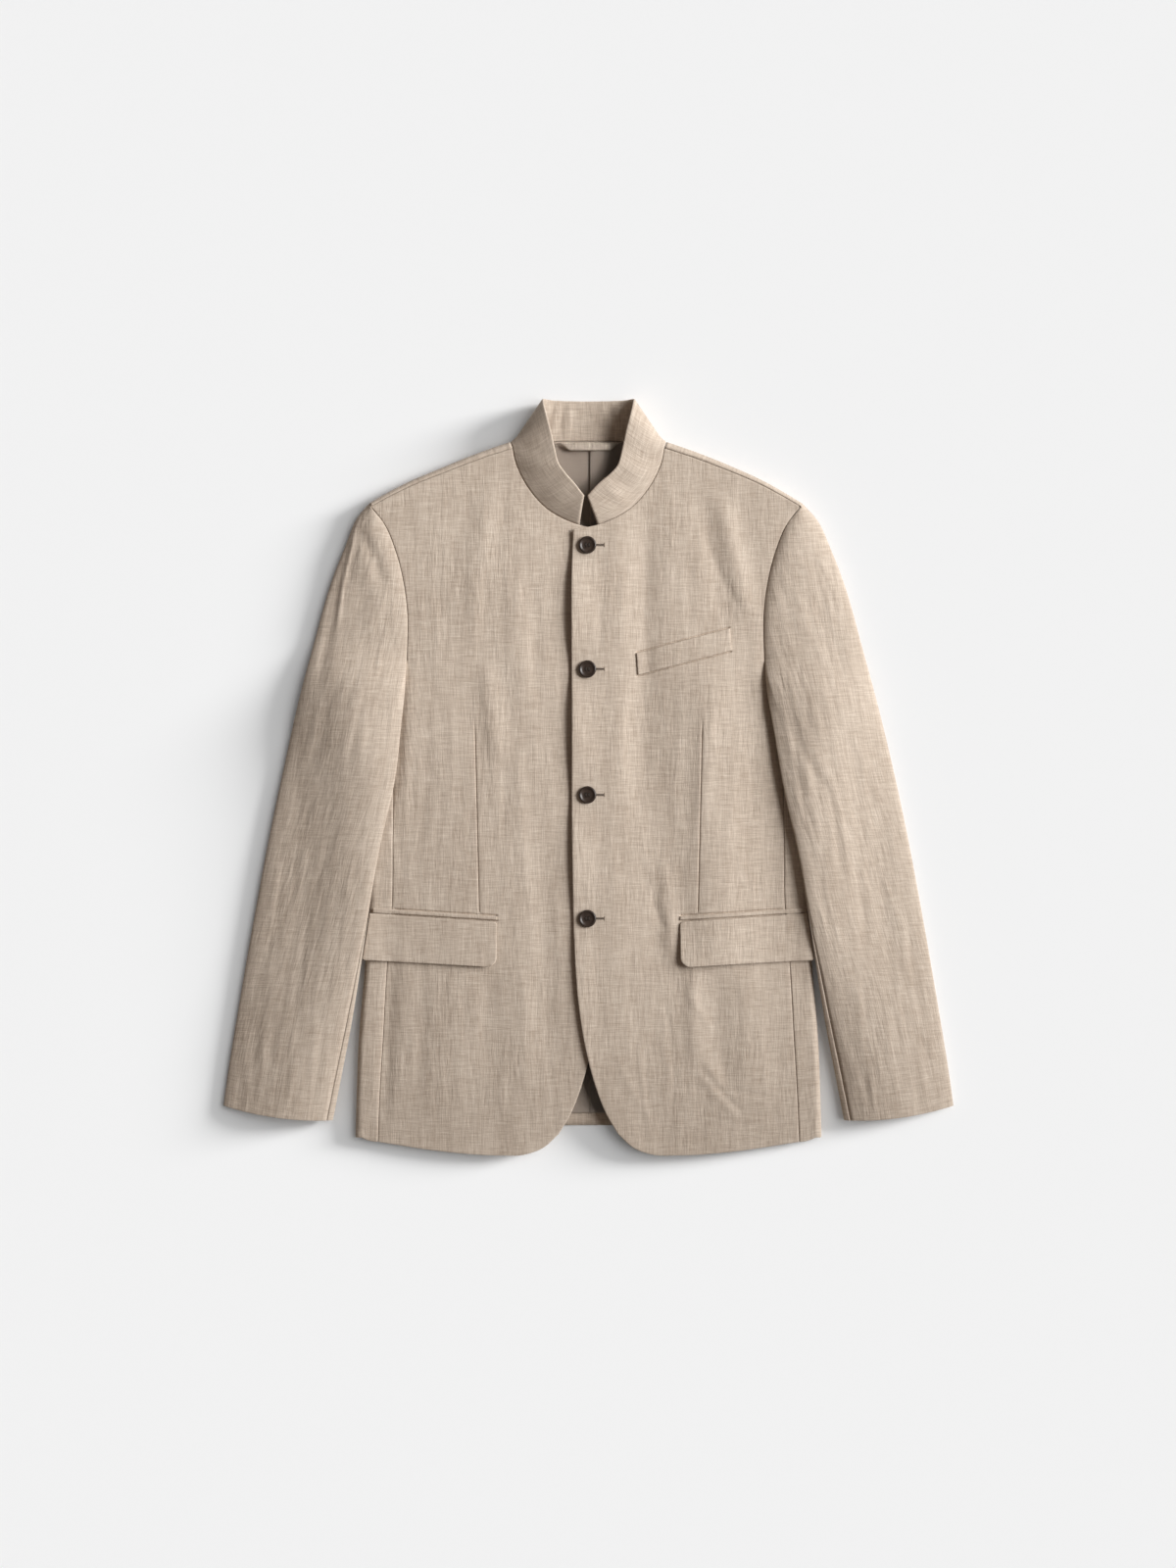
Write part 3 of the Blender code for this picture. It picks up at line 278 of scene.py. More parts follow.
CREASES = {
    LEFT: creases(
        (118, -302, 157, -346, 4.5, -0.85, 2), (89, -323, 188, -333, 3.6, -0.45, -3),
        (53, -276, 63, -366, 3, 0.45, 1.5), (80, -238, 90, -326, 3.4, -0.55, -2),
        (70, -112, 80, -160, 5, -0.8, 4), (82, -120, 88, -200, 6, 0.5, 2),
        (122, 252, 158, 174, 5, -0.5, 3), (60, 236, 62, 110, 7, -0.55, 2), (95, 60, 91, -62, 6, 0.4, 2),
        (152, -212, 154, -296, 5, -0.45, -2), (182, -215, 186, -330, 6, 0.4, 3),
        (42, -180, 50, -262, 5.5, -0.35, 2), (118, -214, 116, -282, 7, -0.55, 2),
        (152, 40, 146, -64, 6, 0.4, -2), (177, 66, 171, -44, 5, -0.4, 2),
        (36, 205, 33, 136, 6, 0.35, 1), (102, 236, 106, 160, 6, -0.35, -2),
        (182, 180, 172, 112, 7, 0.45, 2), (13, 190, 12, 128, 4, -0.35, 1), (34, 80, 36, -2, 5, 0.35, 1),
        (30, -290, 60, -352, 5, 0.35, 2), (130, -352, 190, -362, 5, 0.3, -2),
        (106, -226, 128, -262, 4, 0.35, 1)),
    RIGHT: creases(
        (60, 205, 55, 92, 7, -0.5, 2), (100, 235, 97, 140, 6, 0.4, -2),
        (128, 210, 134, 120, 7, -0.45, 3), (160, 190, 155, 110, 6, 0.4, 2),
        (70, 40, 66, -100, 6, 0.45, -2), (90, 60, 86, -60, 6.5, -0.45, 2),
        (140, 70, 150, -60, 6, 0.4, 3), (166, 60, 178, -80, 6, -0.5, 3),
        (185, 40, 190, -60, 5, 0.45, -2), (30, 120, 28, 40, 5, -0.35, 1),
        (70, -210, 66, -330, 7, 0.45, 2), (104, -215, 108, -300, 6, -0.4, -2),
        (140, -214, 136, -340, 7, 0.45, 3), (172, -210, 178, -320, 6, -0.45, 2),
        (60, -330, 130, -344, 4.5, -0.3, 3), (34, -120, 30, -230, 5, 0.4, 2),
        (112, 20, 126, -60, 5, -0.35, 2))}
print("creases on the fronts:", len(CREASES[LEFT]), "left,", len(CREASES[RIGHT]), "right")

# %% Height of the body
BODY_HEIGHT, BODY_RISE, SHOULDER_SHARE, HEM_SINK = 13.0, 3.0, 0.35, 4.5
SOFT_REACH, HEM_REACH, SIDE_ROLL = 110.0, 90.0, 6.5
LAP = {LEFT: 2.2, RIGHT: -1.8}
LAP_FLAT, LAP_FADE = 22.0, 55.0
ARM_REACH = [Reach(58.0, 243.5), Reach(122.0, 215.0), Reach(165.0, 205.0), Reach(200.0, 206.0),
             Reach(235.0, 214.0), Reach(265.0, 228.0), Reach(295.0, 245.0)]
BUTTON_X = -1.1
BUTTON_Y = [241.4, 112.4, -18.4, -146.9]
EDGE_LIFT = [Reach(-230.0, 2.2), Reach(-83.0, 2.6), Reach(47.0, 3.4), Reach(177.0, 4.4)]
EDGE_LIFT_REACH, BUTTON_HOLD = 34.0, 30.0
RELIEF, BODY_RUMPLE, BODY_RUMPLE_WIDE, BODY_RUMPLE_LONG = 1.3, 0.24, 18.0, 60.0
BODY_FINE_WIDE, BODY_FINE_LONG, BODY_SEED, BODY_FINE_SEED = 2.1, 1.9, 11, 14


def reach_at(y):
    """How far out the top side has come down to its edge height."""
    low = [(row.y, row.edge_x - SIDE_ROLL) for row in SIDE[:-1]]
    table = np.array(low + [(row.y, row.x) for row in ARM_REACH])
    return np.interp(y, table[:, 0], table[:, 1])


def body_top(x, y, side):
    """Height of the body's top side, without the lap at the centre."""
    edge = np.array(SHOULDER_EDGE)
    below = soft((np.interp(x, edge[:, 0], edge[:, 1]) - y) / SOFT_REACH)
    rise = soft((reach_at(y) - x) / SOFT_REACH) * (SHOULDER_SHARE + (1.0 - SHOULDER_SHARE) * below)
    sink = 1.0 - soft((y - FRONT_HEM[3].y) / HEM_REACH)
    height = BODY_HEIGHT + BODY_RISE * rise - HEM_SINK * sink
    height = height + crease_height(FOLDS[side], x, y) / (1.0 - BANK_SHARE)
    height = height + RELIEF * crease_height(CREASES[side], x, y)
    wide, long = x / BODY_RUMPLE_WIDE, y / BODY_RUMPLE_LONG
    fine = rumple(BODY_FINE_WIDE * wide, BODY_FINE_LONG * long, BODY_FINE_SEED + side)
    return height + BODY_RUMPLE * (rumple(wide, long, BODY_SEED + side) + FINE_SHARE * fine)


def front_top(x, y, side):
    """Height of a front's top side; the edge of the left front lifts between its buttons."""
    height = body_top(x, y, side) + LAP[side] * (1.0 - soft((np.abs(x) - LAP_FLAT) / LAP_FADE))
    if side == LEFT:
        held = np.max([np.exp(-((y - button_y) / BUTTON_HOLD) ** 2) for button_y in BUTTON_Y], axis=0)
        near = 1.0 - soft((x - FRONT_EDGE[2].x) / EDGE_LIFT_REACH)
        lift = np.interp(y, [row.y for row in EDGE_LIFT], [row.x for row in EDGE_LIFT])
        height = height + lift * (1.0 - held) * near
    return height


print("height of the chest in mm:", round(float(front_top(np.array(90.0), np.array(150.0), LEFT)), 1))

# %% [markdown]
# ## From a line on the table to a piece of cloth
# Solidify and Bevel could give a sheet its thickness, but here the edges matter: the edge of a turned hem
# or a seam is round and sinks a little, which is what makes a seam show as a fine line. So points are set
# close along each edge and lowered, and the shell is closed with an inner side and a rim.
# A cut that lies flat is filled with triangles inside its outline; one that wraps round is a grid.
# Each piece keeps the place of its threads as a UV map in metres, as if it were cut from a bolt of linen.

# %% Edges that sink, and how the right shoulder lies
Patch = namedtuple("Patch", "points faces normals cut sunk")
EDGE_INSETS = np.array([0.0, 0.35, 0.85, 1.6])
EDGE_SHARES = np.array([1.0, 0.52, 0.16, 0.0])
SEAM_DROP, TURNED_DROP, COLLAR_DROP = 0.45, 0.6, 0.95
ARM_SHIFT, SHIFT_INSIDE, SHIFT_OUTSIDE = 5.8, 75.0, 60.0
SHIFT_LOST, SHIFT_FROM, SHIFT_GROWTH = 0.65, -10.0, 120.0


def laid(points):
    """Points with the right shoulder laid a little further out than the left one, as in the photo."""
    x, y = points[:, 0], points[:, 1]
    line = armhole_points(0.0, SHOULDER_MARKS)
    line = line[np.argsort(line[:, 1])]
    past = -x - np.interp(y, line[:, 1], line[:, 0])
    inner, outer = soft(1.0 + past / SHIFT_INSIDE), 1.0 - SHIFT_LOST * soft(past / SHIFT_OUTSIDE)
    near = np.where(past < 0.0, inner, outer)
    shift = ARM_SHIFT * near * soft((y - SHIFT_FROM) / SHIFT_GROWTH)
    return points - np.column_stack([shift, np.zeros((len(points), 2))])


print("right shoulder laid further out, in mm:", ARM_SHIFT)

# %% A closed shell
def facing_out(patch):
    """Faces of a patch, all turned to the side that its normals look to."""
    first, second, third = [patch.points[patch.faces[:, k]] for k in range(3)]
    across = np.cross(second - first, third - first)
    return patch.faces if np.sum(across * patch.normals[patch.faces[:, 0]]) > 0 else patch.faces[:, ::-1]


def shell(name, patches, thickness, drop, surface, bolt=(0.0, 0.0)):
    """A closed thin shell: patches of the right side, joined where they meet, an inner side and a rim."""
    starts = np.cumsum([0] + [len(patch.points) for patch in patches])
    raw = np.vstack([facing_out(patch) + start for patch, start in zip(patches, starts)])
    points = laid(np.vstack([patch.points for patch in patches]))
    cuts = np.vstack([patch.cut for patch in patches])
    sunk = np.concatenate([patch.sunk for patch in patches])
    _, kept, ids = np.unique(np.round(points, 3), axis=0, return_index=True, return_inverse=True)
    ids, count, sides = ids.reshape(-1), len(kept), raw.shape[1]
    facing = np.zeros((count, 3))
    np.add.at(facing, ids, np.vstack([patch.normals for patch in patches]))
    facing = unit(facing)
    sink = (drop * sunk[kept])[:, None]
    outer, inner = points[kept] - facing * sink, points[kept] - facing * (thickness - sink)
    solid = np.vstack([outer, inner])
    solid[:, 2] = np.maximum(solid[:, 2], 0.0)
    outside = ids[raw]
    edges = np.vstack([outside[:, [k, (k + 1) % sides]] for k in range(sides)])
    free = ~np.isin(edges[:, 0] * count + edges[:, 1], edges[:, 1] * count + edges[:, 0])
    start, stop = edges[free].T
    rims = np.column_stack([stop, start, start + count, stop + count])
    faces = outside.tolist() + (outside[:, ::-1] + count).tolist() + rims.tolist()
    places = np.concatenate([raw.ravel(), raw[:, ::-1].ravel(), kept[rims % count].ravel()])
    mesh = bpy.data.meshes.new(name)
    mesh.from_pydata((solid * MM).tolist(), [], faces)
    mesh.uv_layers.new(name="cut").data.foreach_set("uv", (cuts[places] * MM + np.array(bolt)).ravel())
    mesh.polygons.foreach_set("use_smooth", np.ones(len(mesh.polygons), bool))
    mesh.materials.append(surface)
    made = bpy.data.objects.new(name, mesh)
    bpy.context.scene.collection.objects.link(made)
    return made


print("thickest and thinnest cloth in mm:", COLLAR_WALL, LINING_WALL)

# %% A piece in place of its solid
def settle(piece, node, flat, area):
    """Hangs a piece from the root, hides its solid and prints its faces and the size of its cut."""
    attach(piece, "root")
    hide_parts(node)
    print(piece.name, "faces:", len(piece.data.polygons), "cut in mm:", [round(size / MM) for size in flat])


def outward(side):
    """Turns a half that is counted out from the centre to its own side."""
    return np.array([side, 1.0, 1.0])


print("the right half is turned by:", outward(RIGHT))

# %% Flat cuts: an outline filled with triangles
EDGE_STEP, CURVE_STEPS = 2.0, 60
ROW_PITCH, CLEAR_SHARE, CORNER_LEAST, WELD = 0.866, 0.55, 0.5, 1e-5


def moved_in(outline, inset):
    """A closed outline, drawn anticlockwise, moved inwards by a distance."""
    before, after = unit(outline - np.roll(outline, 1, axis=0)), unit(np.roll(outline, -1, axis=0) - outline)
    normal = np.column_stack([-before[:, 1], before[:, 0]])
    middle = unit(normal + np.column_stack([-after[:, 1], after[:, 0]]))
    return outline + middle * (inset / np.maximum(np.sum(middle * normal, axis=1), CORNER_LEAST))[:, None]


def inside(outline, places):
    """Which places lie inside a closed outline."""
    x, y = places.T
    within = np.zeros(len(places), bool)
    for (x0, y0), (x1, y1) in zip(outline, np.roll(outline, -1, axis=0)):
        if y0 != y1:
            within ^= ((y0 > y) != (y1 > y)) & (x < (x1 - x0) * (y - y0) / (y1 - y0) + x0)
    return within


def filled(outline, step, lines=()):
    """Places and triangles inside an outline, close together at its edge and along any added lines."""
    rings = [moved_in(outline, inset) for inset in EDGE_INSETS]
    (left, low), (right, high) = outline.min(axis=0), outline.max(axis=0)
    y, x = np.meshgrid(np.arange(low, high, step * ROW_PITCH), np.arange(left, right, step), indexing="ij")
    x = x + 0.5 * step * (np.arange(len(x)) % 2)[:, None]
    lattice = np.column_stack([x.ravel(), y.ravel()])
    lattice = lattice[inside(rings[-1], lattice)]
    fixed = np.vstack(rings + list(lines))
    tree = KDTree(len(fixed))
    for k, place in enumerate(fixed):
        tree.insert((*place, 0.0), k)
    tree.balance()
    clear = [tree.find((*place, 0.0))[2] > CLEAR_SHARE * step for place in lattice]
    places = np.vstack([fixed, lattice[clear]])
    sunk = np.concatenate([np.full(len(outline), share) for share in EDGE_SHARES] + [np.zeros(len(places))])
    closed = [(k, (k + 1) % len(outline)) for k in range(len(outline))]
    made = delaunay_2d_cdt([Vector(place) for place in places], closed, [], 1, WELD)
    points, faces, origin = made[0], made[2], made[3]
    return np.array(points), np.array(faces), sunk[[ids[0] for ids in origin]]


square = np.array([(0.0, 0.0), (20.0, 0.0), (20.0, 20.0), (0.0, 20.0)])
print("triangles in a square of 20 mm:", len(filled(square, EDGE_STEP)[1]))

# %% Flat patches and rounded outlines
def flat_patch(places, faces, height, cut, sunk):
    """A filled outline with its heights, as a patch that looks up."""
    points = np.column_stack([places, height])
    first, second, third = [points[faces[:, k]] for k in range(3)]
    across = np.cross(second - first, third - first)
    across = across * np.sign(across[:, 2:])
    normals = np.zeros(points.shape)
    for k in range(3):
        np.add.at(normals, faces[:, k], across)
    return Patch(points, faces, unit(normals), cut, sunk)


def patch_area(patch):
    """Area of a patch in square metres."""
    first, second, third = [patch.points[patch.faces[:, k]] for k in range(3)]
    return float(0.5 * np.linalg.norm(np.cross(second - first, third - first), axis=1).sum()) * MM * MM


def edge_line(points):
    """A smooth curve with a point about every two millimetres, without its last point."""
    count = max(2, int(lengths(even(points, CURVE_STEPS))[-1] / EDGE_STEP))
    return even(points, count + 1)[:-1]


def rounded_outline(corners, radii):
    """A closed outline through corners, each one rounded, with points close together."""
    arcs, total = [], len(corners)
    for k, radius in enumerate(radii):
        corner = corners[k]
        before, after = unit(corners[k - 1] - corner), unit(corners[(k + 1) % total] - corner)
        half = 0.5 * math.acos(float(np.dot(before, after)))
        centre = corner + unit(before + after) * radius / math.sin(half)
        start, stop = corner + before * radius / math.tan(half), corner + after * radius / math.tan(half)
        part = np.linspace(0.0, 1.0, 3 + int(radius))[:, None]
        arcs.append(centre + radius * unit((start - centre) * (1.0 - part) + (stop - centre) * part))
    drawn = []
    for k, arc in enumerate(arcs):
        reach = arcs[(k + 1) % total][0] - arc[-1]
        steps = max(2, int(np.linalg.norm(reach) / EDGE_STEP))
        drawn += [arc, arc[-1] + reach * (np.arange(1, steps) / steps)[:, None]]
    return np.vstack(drawn)


print("length round that square with corners of 4 mm:",
      round(lengths(rounded_outline(square, [4.0] * 4))[-1], 1))

# %% Cuts that wrap round: a grid
CLOSE_ROWS_SHARE = 0.9


def turned_edges(grid, carried, edges):
    """Adds close rows at the named edges and says how much each point sinks.

    The letters s and e are the first and the last row, l and r the first and the last column.
    """
    both = np.concatenate([grid, carried], axis=2)
    sunk = np.zeros(both.shape[:2])
    for name in edges:
        if name in "lr":
            both, sunk = both.transpose(1, 0, 2), sunk.T
        if name in "er":
            both, sunk = both[::-1], sunk[::-1]
        step = both[1] - both[0]
        size = np.linalg.norm(step[:, :3], axis=1)
        if np.median(size) > EDGE_INSETS[-1]:
            room = np.maximum(size, EDGE_INSETS[-1] / CLOSE_ROWS_SHARE)
            share = (EDGE_INSETS[1:, None] / room[None])[:, :, None]
            both = np.concatenate([both[:1], both[:1] + step[None] * share, both[1:]])
            sunk = np.concatenate([sunk[:1], np.repeat(sunk[:1], len(share), axis=0), sunk[1:]])
        run = np.linalg.norm(np.diff(both[..., :3], axis=0), axis=2)
        run = np.vstack([np.zeros(run.shape[1]), np.cumsum(run, axis=0)])
        sunk = np.maximum(sunk, np.interp(run, EDGE_INSETS, EDGE_SHARES))
        if name in "er":
            both, sunk = both[::-1], sunk[::-1]
        if name in "lr":
            both, sunk = both.transpose(1, 0, 2), sunk.T
    return both[..., :3], both[..., 3:], sunk


def normals_of(grid, row, column, facing):
    """Unit normals of a grid, turned so that the one at (row, column) looks towards facing."""
    normal = unit(np.cross(np.gradient(grid, axis=1), np.gradient(grid, axis=0)))
    return normal if np.dot(normal[row, column], facing) > 0 else -normal


def cut_place(grid, column):
    """Place of a grid's points on the bolt: along the rows from one column, and along that column."""
    across = np.linalg.norm(np.diff(grid, axis=1), axis=2)
    across = np.concatenate([np.zeros((len(grid), 1)), np.cumsum(across, axis=1)], axis=1)
    across = across - across[:, column:column + 1]
    return np.dstack([across, np.repeat(lengths(grid[:, column])[:, None], grid.shape[1], axis=1)])


def grid_patch(grid, normal, cut, sunk):
    """A grid as a patch of four-sided faces."""
    ids = np.arange(grid.shape[0] * grid.shape[1]).reshape(grid.shape[:2])
    faces = np.stack([ids[:-1, :-1], ids[:-1, 1:], ids[1:, 1:], ids[1:, :-1]], axis=-1).reshape(-1, 4)
    return Patch(grid.reshape(-1, 3), faces, normal.reshape(-1, 3), cut.reshape(-1, 2), sunk.ravel())


def wrapped_patch(grid, normal, cut, edges, side=LEFT):
    """A grid with turned edges, on its own side of the body."""
    carried = np.concatenate([normal, cut], axis=2)
    grid, carried, sunk = turned_edges(grid, carried, edges)
    return grid_patch(grid * outward(side), unit(carried[..., :3]) * outward(side), carried[..., 3:], sunk)


print("close rows at a turned edge:", len(EDGE_INSETS) - 1)

# %% [markdown]
# ## Linen, lining, horn and thread
# Linen is woven from uneven threads: some are thick, some thin, some lighter. Seen from afar that gives fine
# upright streaks from the warp, shorter level ones from the weft, and slubs where a thread swells. The weave
# is one node group that reads the place on the bolt, so that the threads follow each cut round the body.
# An image of cloth would be quicker, but noise that is stretched along the threads has no end and no seam.

# %% Nodes in few words
def add_node(tree, kind, settings=(), inputs=()):
    """A node with some settings and inputs; an input that is a socket is linked."""
    made = tree.nodes.new(kind)
    for name, value in settings:
        setattr(made, name, value)
    for key, value in inputs:
        if isinstance(value, bpy.types.NodeSocket):
            tree.links.new(value, made.inputs[key])
        else:
            made.inputs[key].default_value = value
    return made


def math_node(tree, operation, first, second=0.0):
    """A sum, product or other step with one or two values."""
    made = add_node(tree, "ShaderNodeMath", [("operation", operation)], [(0, first), (1, second)])
    return made.outputs[0]


def weighted_sum(tree, terms):
    """The sum of some values, each times its weight."""
    total = None
    for value, weight in terms:
        term = math_node(tree, "MULTIPLY", value, weight)
        total = term if total is None else math_node(tree, "ADD", total, term)
    return total


def named_sockets(tree, in_out, sockets):
    """Adds the inputs or the outputs of a group."""
    for name, kind in sockets:
        tree.interface.new_socket(name, in_out=in_out, socket_type=f"NodeSocket{kind}")


# %% The weave as a node group
Streak = namedtuple("Streak", "across length detail offset weight")
WARP, WARP_BAND = Streak(0.0010, 0.021, 2.0, 3.1, 0.78), Streak(0.0036, 0.055, 3.0, 7.7, 0.44)
WEFT, WEFT_BAND = Streak(0.016, 0.0010, 2.0, 5.3, 0.95), Streak(0.034, 0.0030, 3.0, 9.1, 0.62)
CLOUD = Streak(0.045, 0.070, 3.0, 1.9, 0.50)
SLUBS = [Streak(0.0014, 0.030, 1.0, 11.3, 1.0), Streak(0.024, 0.0013, 1.0, 13.9, 1.0),
         Streak(0.0012, 0.020, 1.0, 17.1, -1.0), Streak(0.016, 0.0012, 1.0, 19.7, -1.0)]
SLUB_FROM, SLUB_TO = 0.16, 0.27
CRINKLE_FINE, CRINKLE_WIDE = Streak(0.0030, 0.018, 2.0, 23.3, 1.0), Streak(0.010, 0.042, 1.0, 29.9, 1.3)
CRINKLE_SPREAD, CRINKLE_LEAST, CRINKLE_MOST = Streak(0.05, 0.08, 2.0, 31.7, 0.2), 0.35, 1.4
PLAIN_RISE, WARP_RISE, WEFT_RISE, SLUB_RISE = 0.30, 1.1, 0.8, 0.25
THREAD_ROUGH, LIGHT_GLOSS = 0.92, -0.12
OFFSET_TURN, NOISE_ROUGH = 1.7, 0.55


def thread_noise(tree, place, streak):
    """Noise that is stretched along the threads, about zero; sizes in metres."""
    scaled = add_node(tree, "ShaderNodeVectorMath", [("operation", "MULTIPLY_ADD")],
                      [(0, place), (1, (1.0 / streak.across, 1.0 / streak.length, 0.0)),
                       (2, (streak.offset, streak.offset * OFFSET_TURN, 0.0))])
    noise = add_node(tree, "ShaderNodeTexNoise", [("noise_dimensions", "2D")],
                     [("Vector", scaled.outputs[0]), ("Scale", 1.0), ("Detail", streak.detail),
                      ("Roughness", NOISE_ROUGH)])
    return math_node(tree, "SUBTRACT", noise.outputs["Fac"], 0.5)


def mapped(tree, kind, value, low, high, least, most):
    """A value between two limits, spread over two others."""
    made = add_node(tree, "ShaderNodeMapRange", [("interpolation_type", kind)],
                    [("Value", value), ("From Min", low), ("From Max", high), ("To Min", least),
                     ("To Max", most)])
    return made.outputs[0]


def weave_group():
    """Streaks, slubs and the over and under of the threads."""
    tree = bpy.data.node_groups.new("woven_threads", "ShaderNodeTree")
    named_sockets(tree, "INPUT", (("Place", "Vector"), ("Light Thread", "Color"), ("Dark Thread", "Color"),
                                  ("Streaks", "Float"), ("Slubs", "Float"), ("Thread Size", "Float")))
    named_sockets(tree, "OUTPUT", (("Color", "Color"), ("Height", "Float"), ("Crinkle", "Float"),
                                   ("Roughness", "Float")))
    given = tree.nodes.new("NodeGroupInput").outputs
    place = given["Place"]
    streaks = [(thread_noise(tree, place, streak), streak.weight)
               for streak in (WARP, WARP_BAND, WEFT, WEFT_BAND, CLOUD)]
    warp, weft = streaks[0][0], streaks[2][0]
    tone = math_node(tree, "MULTIPLY", weighted_sum(tree, streaks), given["Streaks"])
    slub = None
    for streak in SLUBS:
        noise = thread_noise(tree, place, streak)
        swell = mapped(tree, "SMOOTHSTEP", noise, SLUB_FROM, SLUB_TO, 0.0, streak.weight)
        slub = swell if slub is None else math_node(tree, "ADD", slub, swell)
    tone = math_node(tree, "ADD", tone, math_node(tree, "MULTIPLY", slub, given["Slubs"]))
    tone = math_node(tree, "ADD", tone, 0.5)
    tone = add_node(tree, "ShaderNodeClamp", (), [("Value", tone)]).outputs[0]
    colour = add_node(tree, "ShaderNodeMix", [("data_type", "RGBA")],
                      [("Factor", tone), (6, given["Dark Thread"]), (7, given["Light Thread"])])
    turns = math_node(tree, "DIVIDE", math.pi, given["Thread Size"])
    axes = add_node(tree, "ShaderNodeSeparateXYZ", (), [(0, place)]).outputs
    over = math_node(tree, "SINE", math_node(tree, "MULTIPLY", axes[0], turns))
    under = math_node(tree, "SINE", math_node(tree, "MULTIPLY", axes[1], turns))
    plain = math_node(tree, "MULTIPLY", over, under)
    height = weighted_sum(tree, ((plain, PLAIN_RISE), (warp, WARP_RISE), (weft, WEFT_RISE),
                                 (slub, SLUB_RISE)))
    wide = math_node(tree, "MULTIPLY", thread_noise(tree, place, CRINKLE_WIDE), CRINKLE_WIDE.weight)
    crinkle = math_node(tree, "ADD", thread_noise(tree, place, CRINKLE_FINE), wide)
    spread = mapped(tree, "LINEAR", thread_noise(tree, place, CRINKLE_SPREAD), -CRINKLE_SPREAD.weight,
                    CRINKLE_SPREAD.weight, CRINKLE_LEAST, CRINKLE_MOST)
    crinkle = math_node(tree, "MULTIPLY", crinkle, spread)
    rough = math_node(tree, "ADD", math_node(tree, "MULTIPLY", tone, LIGHT_GLOSS), THREAD_ROUGH)
    out = tree.nodes.new("NodeGroupOutput")
    for name, value in (("Color", colour.outputs[2]), ("Height", height), ("Crinkle", crinkle),
                        ("Roughness", rough)):
        tree.links.new(value, out.inputs[name])
    return tree


weave = weave_group()
print("nodes in the weave:", len(weave.nodes))

# %% The finishes
THREAD_HEIGHT = 0.0003
HORN_WORN, HORN_ROUGH = 0.25, 0.22


def new_finish(name):
    """A material with its shader, ready for nodes."""
    made = bpy.data.materials.new(name)
    made.use_nodes = True
    return made, made.node_tree, made.node_tree.nodes["Principled BSDF"]


def mixed(tree, factor, first, second):
    """A colour between two others."""
    made = add_node(tree, "ShaderNodeMix", [("data_type", "RGBA")],
                    [("Factor", factor), (6, (*first, 1.0)), (7, (*second, 1.0))])
    return made.outputs[2]


def cloth_finish(name, light, dark, streaks, slubs, thread, bump, sheen, crinkle):
    """A woven cloth that reads its place on the bolt."""
    made, tree, shader = new_finish(name)
    place = add_node(tree, "ShaderNodeUVMap", [("uv_map", "cut")]).outputs[0]
    cloth = add_node(tree, "ShaderNodeGroup", [("node_tree", weave)],
                     [("Place", place), ("Light Thread", (*light, 1.0)), ("Dark Thread", (*dark, 1.0)),
                      ("Streaks", streaks), ("Slubs", slubs), ("Thread Size", thread)]).outputs
    folded = add_node(tree, "ShaderNodeBump", (),
                      [("Height", cloth["Crinkle"]), ("Strength", 1.0), ("Distance", crinkle)])
    raised = add_node(tree, "ShaderNodeBump", (),
                      [("Height", cloth["Height"]), ("Strength", bump), ("Distance", THREAD_HEIGHT),
                       ("Normal", folded.outputs[0])])
    tree.links.new(cloth["Color"], shader.inputs["Base Color"])
    tree.links.new(cloth["Roughness"], shader.inputs["Roughness"])
    tree.links.new(raised.outputs[0], shader.inputs["Normal"])
    shader.inputs["Sheen Weight"].default_value = sheen
    shader.inputs["Sheen Roughness"].default_value = 0.45
    shader.inputs["Specular IOR Level"].default_value = 0.25
    return made


def horn_finish(dark, pale):
    """Polished dark horn, with paler clouds and a worn gloss."""
    made, tree, shader = new_finish("dark_horn")
    place = add_node(tree, "ShaderNodeTexCoord").outputs["Object"]
    cloud = add_node(tree, "ShaderNodeTexNoise", (), [("Vector", place), ("Scale", 230.0), ("Detail", 4.0),
                                                      ("Distortion", 1.2)]).outputs["Fac"]
    worn = math_node(tree, "ADD", math_node(tree, "MULTIPLY", cloud, HORN_WORN), HORN_ROUGH)
    tree.links.new(mixed(tree, cloud, dark, pale), shader.inputs["Base Color"])
    tree.links.new(worn, shader.inputs["Roughness"])
    return made


def thread_finish(name, light, dark):
    """Sewing thread, with a slight twist in its tone."""
    made, tree, shader = new_finish(name)
    place = add_node(tree, "ShaderNodeTexCoord").outputs["Object"]
    twist = add_node(tree, "ShaderNodeTexNoise", (), [("Vector", place), ("Scale", 2500.0)]).outputs["Fac"]
    tree.links.new(mixed(tree, twist, dark, light), shader.inputs["Base Color"])
    shader.inputs["Roughness"].default_value = 0.75
    return made


linen = cloth_finish("linen", light=(0.70, 0.602, 0.502), dark=(0.445, 0.356, 0.28), streaks=1.0, slubs=0.22,
                     thread=0.00065, bump=0.55, sheen=0.12, crinkle=0.00037)
lining_cloth = cloth_finish("lining_cloth", light=(0.40, 0.33, 0.275), dark=(0.34, 0.275, 0.225),
                            streaks=0.35, slubs=0.0, thread=0.0003, bump=0.08, sheen=0.3, crinkle=0.0)
horn = horn_finish(dark=(0.014, 0.009, 0.007), pale=(0.064, 0.042, 0.031))
# A dark thread colour: the real colour of the button threads, and painted shade where it covers the open
# buttonhole slits.
dark_thread_and_slit_shade = thread_finish("dark_thread_and_slit_shade", (0.05, 0.036, 0.027), (0.02, 0.014, 0.01))
hole_thread = thread_finish("buttonhole_thread", (0.42, 0.34, 0.27), (0.27, 0.21, 0.16))
print("finishes:", [m.name for m in (linen, lining_cloth, horn, dark_thread_and_slit_shade, hole_thread)])

# %% [markdown]
# ## The fronts
# A front is one cut from the hem to the shoulder, with a long dart that takes in the waist. Its outline is
# drawn as on a cutting table: the hem, the side seam, the armhole, the shoulder, the neck and the front edge.
# The inside is filled with small even triangles, because a grid would have to bend at the neck and at the
# rounded hem. Points are set close together along the dart, so that its fine seam is real geometry.

